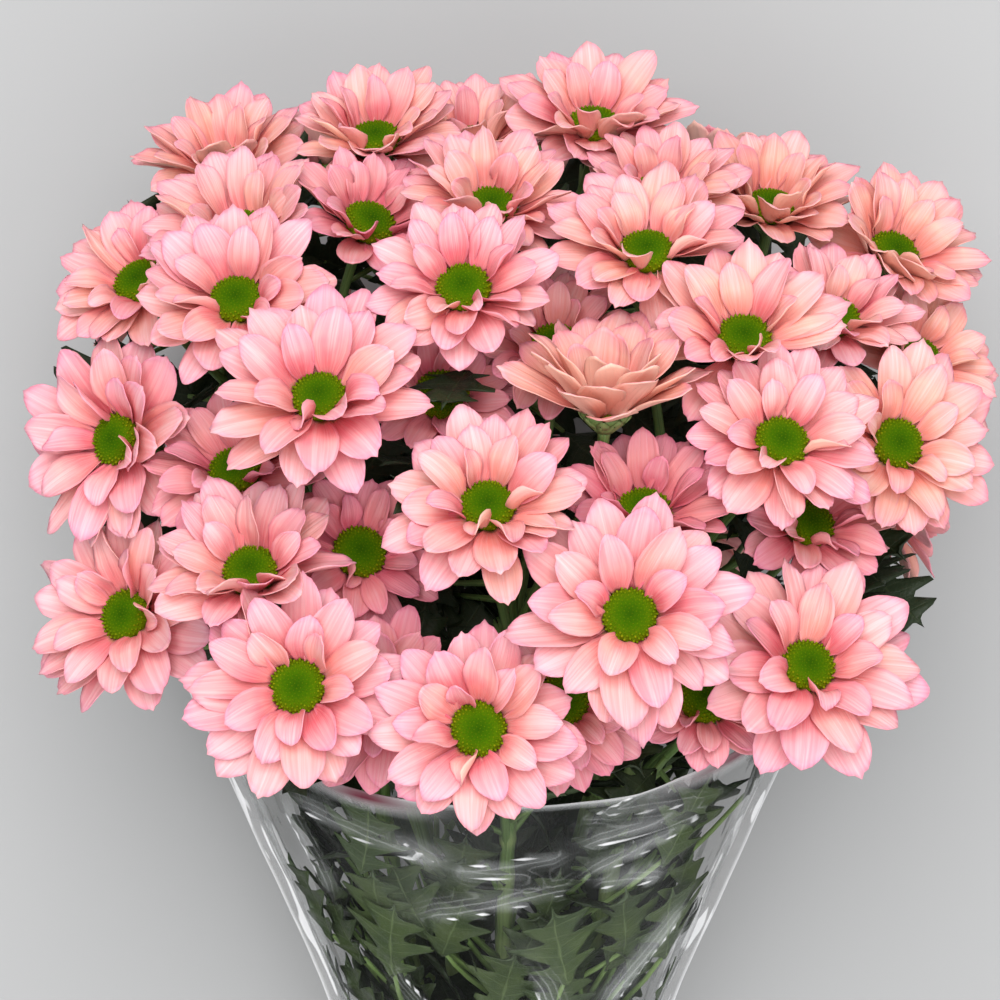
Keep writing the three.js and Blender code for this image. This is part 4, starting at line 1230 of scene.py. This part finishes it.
def leaf_grid(seed, grain=FINE_LEAF, begin=0.14):
    """Shares of a leaf's length along and across it, for each point of its grid."""
    u = np.linspace(0, 1, grain[0])[:, None]
    v = grain[1][None, :]
    sides = np.where(v < 0, lobed_edge(u, seed), lobed_edge(u, seed + 1.7))
    across = v * sides
    along = 0.68 * u + 0.5 * np.abs(across) + 0.18 * u**3 * (1 - np.abs(v) * 0.6)
    across = across * (1 - begin) / 0.86
    along = begin + along * (1 - begin) / 0.86
    return along, across, u + 0 * v, v + 0 * u


def add_leaf(shape, stems, surface, start, seed, grain=FINE_LEAF, begin=0.14, deep=0.0):
    """A leaf whose blade lies on a surface, with a stalk from a point in a stem."""
    along, across, u, v = leaf_grid(seed, grain, begin)
    fold = 1.5 * (1 - np.abs(v)) ** 1.2
    ripple = 0.9 * np.sin(9 * along + seed * 20) * np.abs(v) ** 2 + 0.6 * np.sin(25 * along + seed * 7) * v**2
    points = surface(along, across, fold + ripple)
    thin = 0.4 * (1 - 0.3 * np.abs(v))
    body, quads, under = shell(points, thin)
    lower = surface(0.4, 0.0, 3.0) - surface(0.4, 0.0, 0.0)
    facing = np.cross(points[8, -1] - points[8, 0], points[11, 2] - points[8, 2])
    if facing @ lower < 0:
        under = 1 - under
    shape.add(body, quads, along=np.tile(u.reshape(-1), 2), across=np.tile(v.reshape(-1), 2),
              seed=seed % 1, under=under, deep=deep)
    base = surface(begin + 0.06, 0.0, 2.0)
    joint = surface(0.0, 0.0, 1.6)
    t = np.linspace(0, 1, 5)[:, None]
    line = (1 - t) ** 2 * start + 2 * (1 - t) * t * (0.35 * start + 0.65 * joint) + t**2 * base
    points, quads, tris, _, around = tube(line, np.linspace(1.3, 0.8, 5), 5, start_side=(0.3, 0.2, 0.93))
    # Stalks of leaves with painted shade have a less pale joint
    stems.add(points, quads, tris, along=0.3, around=around, joint=0.4 - 0.4 * deep)


def film_leaf_surface(degrees, y, length, slant_degrees, seed, depth=0.0):
    """The surface that a leaf on the inside of the film follows."""
    turn, slant = math.radians(degrees), math.radians(slant_degrees)

    def surface(along, across, below):
        along, across, below = np.broadcast_arrays(along, across, below)
        height = y + length * (along * math.cos(slant) - across * math.sin(slant))
        loose = 2.2 + depth + 1.6 * np.sin(4 * along + seed * 11) ** 2 + below
        aside = length * (across * math.cos(slant) + along * math.sin(slant))
        angle = turn + aside / (film_radius(turn, height) - loose)
        radius = film_radius(angle, height) - loose
        points = np.stack([radius * np.cos(angle), height, radius * np.sin(angle)], -1)
        return inside_film(points, 3.0)

    return surface


def spread_leaf_surface(start, forward, out, length, slant_degrees, arch, twist, gap):
    """The surface that a leaf standing out from its stem or stalk follows."""
    slant = math.radians(slant_degrees)
    aside = np.cross(forward, out)
    ahead = forward * math.cos(slant) + out * math.sin(slant)
    below = np.cross(aside, ahead)
    aside, below = (aside * math.cos(twist) + below * math.sin(twist),
                    below * math.cos(twist) - aside * math.sin(twist))

    def surface(along, across, depth):
        along, across, depth = np.broadcast_arrays(along, across, depth)
        reach = (gap + length * along)[..., None] * ahead
        drop = (depth + length * arch * along**2)[..., None] * below
        points = start + reach + (length * across)[..., None] * aside + drop
        return kept_above_table(inside_film(points, 3.2))

    return surface


def open_leaf_surface(spray, degrees, y, length, slant_degrees, arch=0.18, twist=0.0):
    turn = math.radians(degrees)
    start, _ = on_stem(spray, y)
    forward, out = np.array([0.0, 1, 0]), np.array([math.cos(turn), 0, math.sin(turn)])
    return spread_leaf_surface(start, forward, out, length, slant_degrees, arch, twist, 10), start


def leaf_middle(surface, seed):
    along, across, _, v = leaf_grid(seed, PLAIN_LEAF)
    return surface(along, across, 1.5 * (1 - np.abs(v)))


# Fill leaves on each flower's stalk, and leaves that fill the gaps between the flowers
STALK_LEAVES = 5
SPREAD_LEAVES = 230
# The stems near the film, in the order in which leaves along the film are given to them
OUTER_SPRAYS = ("front", "left", "right", "back_left", "back_right", "left", "right")
LEAF_FACES = grid_quads(PLAIN_LEAF[0], len(PLAIN_LEAF[1])).tolist()


def fill_leaf_wishes(heads, count):
    """More leaves: on the stems inside the sleeve, along the film and on the flower stalks."""
    random = np.random.default_rng(4242)
    names = list(SPRAYS)
    for head in heads * STALK_LEAVES:
        line, _ = stalk_line(head)
        k = int(random.integers(5, 15))
        forward = unit(line[k + 1] - line[k - 1])
        out = unit(np.cross(forward, random.uniform(-1, 1, 3)))
        surface = spread_leaf_surface(
            line[k], forward, out, random.uniform(28, 42), random.uniform(25, 80),
            random.uniform(0, 0.3), random.uniform(-0.9, 0.9), 5,
        )
        # The last value yielded is how much painted shade the leaf gets
        yield head.spray, surface, line[k], line[k][1], random.uniform(0, 50), 0.75
    lines = np.concatenate([stalk_line(head)[0][4:-3] for head in heads])
    owners = np.repeat([head.spray for head in heads], len(lines) // len(heads))
    back = np.array(SIGHT_BACK)
    for i in range(SPREAD_LEAVES):
        place = np.array([random.uniform(-128, 132), HEAD_CENTRE_Y, 0])
        place = place + np.array(SIGHT_UP) * random.uniform(-70, 100) + back * random.uniform(-75, 25)
        apart = np.linalg.norm(lines - place, axis=1)
        k = int(np.argmin(apart))
        forward = unit(place - lines[k])
        surface = spread_leaf_surface(
            lines[k], forward, unit(back - forward * (back @ forward)), random.uniform(32, 46),
            random.uniform(0, 25), random.uniform(0, 0.25), random.uniform(-0.4, 0.4), min(apart[k], 20),
        )
        yield str(owners[k]), surface, lines[k], 1e3, random.uniform(0, 50), 0.7
    for i in range(count):
        seed = i * 0.377 + 0.1
        length, slant = random.uniform(28, 42), random.uniform(14, 70)
        if i % 2:
            spray = names[i % len(names)]
            y = random.uniform(-205, 70) if spray != "middle" else random.uniform(-150, 100)
            longer = 1.4 if y < -40 else 1
            surface, start = open_leaf_surface(
                spray, random.uniform(0, 360), y, length * longer, slant, random.uniform(0.1, 0.35),
                random.uniform(-0.9, 0.9),
            )
            # Leaves on the stems inside the bunch get strong painted shade
            deep = 0.8
        else:
            spray = OUTER_SPRAYS[i // 2 % len(OUTER_SPRAYS)]
            angle, y = SPRAYS[spray][0] + random.uniform(-40, 40), random.uniform(-150, -36)
            sideways = abs(math.cos(math.radians(angle)))
            depth = random.uniform(1, 16) + 90 * max(0, sideways - 0.84)
            surface = film_leaf_surface(angle, y, length, slant - 42, seed, depth)
            # Leaves set further in from the film get more painted shade
            deep = min(1, depth / 20)
            y -= 26
            start, _ = on_stem(spray, y)
        yield spray, surface, start, y, seed, deep


# ---------------- sleeve and band


def crease_height(angle, y):
    """How far folds in the film stand out, how far each point is from one, and the band beside each that gets
    a painted sheen.
    """
    shape = np.broadcast(angle, y).shape
    height, near, veil = np.zeros(shape), np.full(shape, 12.0), np.zeros(shape)
    for k, (a1, y1, a2, y2, tall, wide) in enumerate(CREASES):
        middle = 0.5 * (y1 + y2)
        scale = float(film_radius(math.radians((a1 + a2) / 2), middle))
        turn = (angle - math.radians((a1 + a2) / 2) + math.pi) % (2 * math.pi) - math.pi
        x = turn * scale
        half = math.radians(a2 - a1) / 2 * scale
        way = np.array([2 * half, y2 - y1])
        share = np.clip(((x + half) * way[0] + (y - y1) * way[1]) / (way @ way), 0, 1)
        aside, beyond = x + half - share * way[0], y - y1 - share * way[1]
        apart = np.hypot(aside, beyond)
        taper = np.clip(np.minimum(share, 1 - share) * 6, 0.15, 1)
        height = np.maximum(height, tall * taper * np.clip(1 - apart / wide, 0, 1) ** 1.1)
        near = np.minimum(near, apart + 2.5 * (1 - taper))
        # The band on one side of each crease is where the painted sheen goes
        below = (aside * way[1] - beyond * way[0]) * (1 if k % 3 else -1) > 0
        veil = np.maximum(veil, np.where(below, taper * np.clip(1 - apart / (1.5 * wide), 0, 1), 0))
    return height, near, veil


def sleeve_surface(rows, upper, lower):
    """The film's grid of points, from the mouth down and round the bunch, and its marks."""
    share = np.linspace(0, 1, rows)[:, None] ** 1.25
    angle = np.concatenate([
        np.linspace(0, math.pi, upper + 1)[:-1], np.linspace(math.pi, 2 * math.pi, lower + 1),
    ])[None, :]
    top = SLEEVE_ROWS[0][0] + MOUTH_SWELL * np.cos(2 * angle)
    y = top + (SLEEVE_ROWS[-1][0] - top) * share
    radius = film_radius(angle, y)
    folds, near, veil = crease_height(angle, y)
    loose = np.clip((-150 - y) / 100, 0, 1)
    pleats = loose * (1.3 * np.sin(9 * angle + 0.6 * np.sin(y / 40)) + 0.7 * np.sin(14 * angle + 2))
    slack = 0.9 * np.sin(3 * angle + y / 23) * np.sin(y / 31 + 1) + 0.5 * np.sin(7 * angle - y / 17)
    pinch = np.abs(np.cos(angle)) ** 6
    proud = (folds + pleats - 0.8 + slack) * (1 - 0.9 * pinch) - (FIN - 1) * pinch
    radius = radius + proud
    depth = radius * np.sin(angle) * (1 - 0.25 * pinch)
    points = np.stack([radius * np.cos(angle), y + 0 * angle, depth], -1)
    # Painted reflection of the flowers, in a band just under the rim
    glow = sum(np.exp(-(((np.degrees(angle) - at) / wide) ** 2)) for at, wide in RIM_REFLECTIONS)
    # The marks place the painted highlights on creases, sides and mouth, the painted sheen beside the creases
    # and along the sides, and the painted reflection of the flowers under the rim
    marks = {
        "crease": near, "veil": veil, "edge": np.clip(1 - (top - y) / 1.6, 0, 1),
        "glow": np.clip(1.6 - (top - y) / 4.5, 0, 1) * np.clip(glow, 0, 1),
        "side": np.clip((np.abs(np.cos(angle)) - 0.84) / 0.1, 0, 1) + 0 * y,
        "around": angle + 0 * y, "down": y / 100,
    }
    return points, marks


def add_sheet_round(shape, points, marks, thickness):
    """A closed film wall round the bunch: its seam columns are joined."""
    rows, columns = points.shape[0], points.shape[1] - 1
    normal = unit(np.cross(np.gradient(points, axis=0), np.gradient(points, axis=1)))
    normal[:, 0] = normal[:, -1] = unit(normal[:, 0] + normal[:, -1])
    outer = (points + normal * thickness / 2)[:, :-1]
    inner = (points - normal * thickness / 2)[:, :-1]
    n = rows * columns
    quads, _ = ring_faces(rows, columns)
    out = quads[:, [0, 3, 2, 1]]
    mouth = np.stack([quads[:columns, 0], quads[:columns, 1]], -1)
    mouth = np.concatenate([mouth, mouth[:, ::-1] + n], -1)
    quads = np.concatenate([out, out[:, ::-1] + n, mouth, mouth[:, ::-1] + (rows - 1) * columns])
    values = {name: np.tile(mark[:, :-1].reshape(-1), 2) for name, mark in marks.items()}
    shape.add(np.concatenate([outer.reshape(-1, 3), inner.reshape(-1, 3)]), quads, **values)


def fin_surface(side):
    """The flat weld that stands out along one side of the sleeve."""
    share = np.linspace(0, 1, 90)[:, None]
    angle = 0 if side > 0 else math.pi
    top = SLEEVE_ROWS[0][0] + MOUTH_SWELL
    y = top + (SLEEVE_ROWS[-1][0] - top) * share
    radius = film_radius(angle, y)
    out = np.linspace(-1.4, FIN + 0.2, 7)[None, :]
    sway = 0.8 * np.sin(y / 11 + side) * np.clip(out / FIN, 0, 1) + 0.3 * np.sin(y / 4.1)
    return np.stack([side * (radius - FIN + out), y + 0 * out, sway + 0 * out], -1), out + 0 * y


# ---------------- operators


class BUNCH_OT_stage(bpy.types.Operator):
    """Pale floor, soft studio light and the camera."""

    bl_idname = "bunch.stage"
    bl_label = "Stage"

    def execute(self, context):
        settings = context.scene.bunch_stage
        scene = context.scene
        bpy.ops.mesh.primitive_plane_add(size=60, location=(0, 0, 0))
        floor = context.object
        floor.name = "floor"
        floor.data.materials.append(floor_material(settings))
        floor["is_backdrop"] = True

        camera = bpy.data.cameras.new("camera")
        camera.sensor_width = 36
        camera.lens = 36 * SIGHT_DISTANCE / VIEW_SPAN
        camera.clip_end = 100
        eye = bpy.data.objects.new("camera", camera)
        scene.collection.objects.link(eye)
        back, up = turned_way(SIGHT_BACK), turned_way(SIGHT_UP)
        place = Vector(placed(np.array(VIEW_CENTRE + SIGHT_BACK * SIGHT_DISTANCE)))
        axes = Matrix((up.cross(back), up, back)).transposed()
        eye.matrix_world = Matrix.Translation(place) @ axes.to_4x4()
        scene.camera = eye

        self.light(context, "key", (-0.05, 1.2, 2.6), (0, 0.1, 0.1), 1.9, settings.key)
        self.light(context, "fill", (0.3, -1.2, 2.8), (0, 0.05, 0.1), 2.2, settings.fill)
        world = bpy.data.worlds.new("studio")
        world.use_nodes = True
        tree = world.node_tree
        rays = node(tree, "LightPath")
        glossy = rays.outputs["Is Glossy Ray"]
        dimmed = maths(tree, "MULTIPLY_ADD", glossy, -0.79 * settings.sky, settings.sky)
        sky = tree.nodes["Background"]
        sky.inputs[0].default_value = (0.96, 0.98, 1.0, 1)
        tree.links.new(dimmed, sky.inputs[1])
        scene.world = world
        scene.view_settings.view_transform = "Standard"
        return {"FINISHED"}

    def light(self, context, name, place, target, size, power):
        lamp = bpy.data.lights.new(name, "AREA")
        lamp.shape = "SQUARE"
        lamp.size = size
        lamp.energy = power
        holder = bpy.data.objects.new(name, lamp)
        context.scene.collection.objects.link(holder)
        holder.location = place
        way = Vector(target) - Vector(place)
        holder.rotation_euler = way.to_track_quat("-Z", "Y").to_euler()


class BUNCH_OT_sleeve(bpy.types.Operator):
    """The creased film sleeve with its two welded sides."""

    bl_idname = "bunch.sleeve"
    bl_label = "Film sleeve"

    def execute(self, context):
        settings = context.scene.bunch_sleeve
        thickness = settings.thickness / MM
        shape = Shape("crease", "veil", "edge", "glow", "side", "around", "down", "weld")
        points, marks = sleeve_surface(*SLEEVE_GRID)
        add_sheet_round(shape, points, marks, thickness)
        rows, columns = points.shape[:2]
        crowd.add(points, grid_quads(rows, columns).tolist(), "sleeve")
        for side in (1, -1):
            surface, out = fin_surface(side)
            body, quads, _ = shell(surface, thickness * 1.6)
            weld = np.tile(np.clip(out.reshape(-1) / 2, 0, 1), 2)
            # The fin's outer edge gets a painted highlight line, and the whole fin gets the painted side
            # streaks and sheen
            rim = np.tile(np.clip(out.reshape(-1) - FIN + 1, 0, 1), 2)
            around = np.tile(out.reshape(-1) / 40 + side, 2)
            shape.add(body, quads, crease=12.0, side=1.0, weld=weld, edge=rim, around=around,
                      down=body[:, 1] / 100)
            crowd.add(surface, grid_quads(*surface.shape[:2]).tolist(), "sleeve")
        shape.piece("film", film_material(settings), "sleeve", "sleeve")
        return {"FINISHED"}


class BUNCH_OT_flowers(bpy.types.Operator):
    """The ray petals of every flower head."""

    bl_idname = "bunch.flowers"
    bl_label = "Flower heads"

    def execute(self, context):
        settings = context.scene.bunch_flowers
        material = petal_material(settings)
        heads = [Head(i) for i in range(len(HEADS))]
        for head in heads:
            points, quads, tris = turned(HEART, 10)
            crowd.add(head.place(points), quads.tolist() + tris.tolist(), head.index)
            line, _ = stalk_line(head)
            points, quads, tris, *_ = tube(line[:-1], np.full(len(line) - 1, 1.9), 5)
            crowd.add(points, quads.tolist() + tris.tolist(), head.index)
        for leaf in OPEN_LEAVES:
            seed = leaf[1] * 0.013 + leaf[2] * 0.07
            surface, _ = open_leaf_surface(*leaf)
            crowd.add(leaf_middle(surface, seed), LEAF_FACES, "leaf")
        for head in sorted(heads, key=lambda h: -h.towards):
            build_bloom(head, settings, material)
        return {"FINISHED"}


class BUNCH_OT_sprays(bpy.types.Operator):
    """Stems, stalks, green discs and leaves."""

    bl_idname = "bunch.sprays"
    bl_label = "Stems, discs and leaves"

    def execute(self, context):
        if not crowd.things:
            raise RuntimeError("the flower heads come before the sprays, whose leaves keep clear of them")
        greens, flowers = context.scene.bunch_greens, context.scene.bunch_flowers
        stem, leaf, disc = stem_material(greens), leaf_material(greens), disc_material(flowers)
        heads = [Head(i) for i in range(len(HEADS))]
        leaves = {name: Shape("along", "across", "seed", "under", "deep") for name in SPRAYS}
        stalks = {name: Shape("along", "around", "joint") for name in SPRAYS}
        joints = {name: [] for name in SPRAYS}
        for spray, degrees, y, length, slant in FILM_LEAVES:
            seed = degrees * 0.017 + y * 0.05
            surface = film_leaf_surface(degrees, y, length, slant, seed)
            start, _ = on_stem(spray, y - 26)
            joints[spray].append(y - 26)
            add_leaf(leaves[spray], stalks[spray], surface, start, seed, begin=0.34)
        for spray, degrees, y, length, slant in OPEN_LEAVES:
            seed = degrees * 0.013 + y * 0.07
            surface, start = open_leaf_surface(spray, degrees, y, length, slant)
            joints[spray].append(y)
            add_leaf(leaves[spray], stalks[spray], surface, start, seed)
        for spray, surface, start, y, seed, deep in fill_leaf_wishes(heads, greens.fill_leaves):
            middle = leaf_middle(surface, seed)
            if crowd.meets(middle, tree_of(middle, LEAF_FACES)):
                continue
            if y < STEMS[spray][0][-1][1]:
                joints[spray].append(y)
            add_leaf(leaves[spray], stalks[spray], surface, start, seed, PLAIN_LEAF, deep=deep)
        for spray in SPRAYS:
            node_name = "spray_" + spray
            stems = stalks[spray]
            discs = Shape("outward", "top", "seed")
            for head in heads:
                if head.spray != spray:
                    continue
                add_stalk(stems, head)
                add_calyx(stems, head)
                seen = head.index < SEEN_HEADS
                add_disc(discs, head, flowers.florets if seen else flowers.florets * 2 // 3)
                joints[spray].append(stalk_line(head)[1])
            add_stem(stems, spray, joints[spray])
            stems.piece("stems_" + spray, stem, "green", node_name)
            discs.piece("discs_" + spray, disc, "green", node_name)
            leaves[spray].piece("leaves_" + spray, leaf, "green", node_name)
        return {"FINISHED"}


class BUNCH_OT_band(bpy.types.Operator):
    """A rubber band wound three times round the stems."""

    bl_idname = "bunch.band"
    bl_label = "Rubber band"

    def execute(self, context):
        settings = context.scene.bunch_sleeve
        radius = settings.strand / MM / 2
        t = np.linspace(0, 1, 145)[:-1]
        turn = 6 * math.pi * t
        out = STEM_RING + STEM_RADIUS + 1.45 + 0.62 * np.sin(2 * math.pi * t) - 0.075 * np.cos(5 * turn)
        y = BAND_Y + 1.75 * np.cos(2 * math.pi * t)
        line = np.stack([out * np.cos(turn), y, out * np.sin(turn)], -1)
        tangent = unit(np.roll(line, -1, 0) - np.roll(line, 1, 0))
        outward = unit(line * np.array([1, 0, 1]))
        beside = np.cross(tangent, outward)
        sides = 8
        turns = np.arange(sides) * 2 * math.pi / sides
        ring = [outward * math.cos(a) * radius + beside * math.sin(a) * radius for a in turns]
        points = (line[:, None] + np.stack(ring, 1)).reshape(-1, 3)
        i, j = np.meshgrid(np.arange(len(line)), np.arange(sides), indexing="ij")
        a, b = (i * sides + j).reshape(-1), (i * sides + (j + 1) % sides).reshape(-1)
        quads = np.stack([a, b, (b + sides) % len(points), (a + sides) % len(points)], -1)
        shape = Shape("along")
        shape.add(points, quads, along=0.0)
        shape.piece("rubber_band", rubber_material(settings), "band", "band")
        return {"FINISHED"}


class BUNCH_PT_panel(bpy.types.Panel):
    """The bunch's pieces and settings."""

    bl_label = "Chrysanthemum bunch"
    bl_idname = "BUNCH_PT_panel"
    bl_space_type = "VIEW_3D"
    bl_region_type = "UI"
    bl_category = "Bunch"

    def draw(self, context):
        scene = context.scene
        for operators, settings in (
            (("bunch.stage",), scene.bunch_stage),
            (("bunch.sleeve", "bunch.band"), scene.bunch_sleeve),
            (("bunch.flowers",), scene.bunch_flowers),
            (("bunch.sprays",), scene.bunch_greens),
        ):
            box = self.layout.box()
            for operator in operators:
                box.operator(operator)
            for name in settings.__annotations__:
                box.prop(settings, name)


SETTINGS = {
    "bunch_flowers": BunchFlowerSettings,
    "bunch_greens": BunchGreenSettings,
    "bunch_sleeve": BunchSleeveSettings,
    "bunch_stage": BunchStageSettings,
}
CLASSES = (
    *SETTINGS.values(), BUNCH_OT_stage, BUNCH_OT_sleeve, BUNCH_OT_flowers, BUNCH_OT_sprays,
    BUNCH_OT_band, BUNCH_PT_panel,
)


def register():
    for cls in CLASSES:
        bpy.utils.register_class(cls)
    for name, group in SETTINGS.items():
        setattr(bpy.types.Scene, name, PointerProperty(type=group))


def unregister():
    for name in SETTINGS:
        delattr(bpy.types.Scene, name)
    for cls in reversed(CLASSES):
        bpy.utils.unregister_class(cls)


def main():
    register()
    bpy.ops.bunch.stage()
    bpy.ops.bunch.sleeve()
    bpy.ops.bunch.flowers()
    bpy.ops.bunch.sprays()
    bpy.ops.bunch.band()
    boxes = {"solid": SOLID_BOX, "visual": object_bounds()}
    {name: [list(corner) for corner in box] for name, box in boxes.items()}


if __name__ == "__main__":
    main()
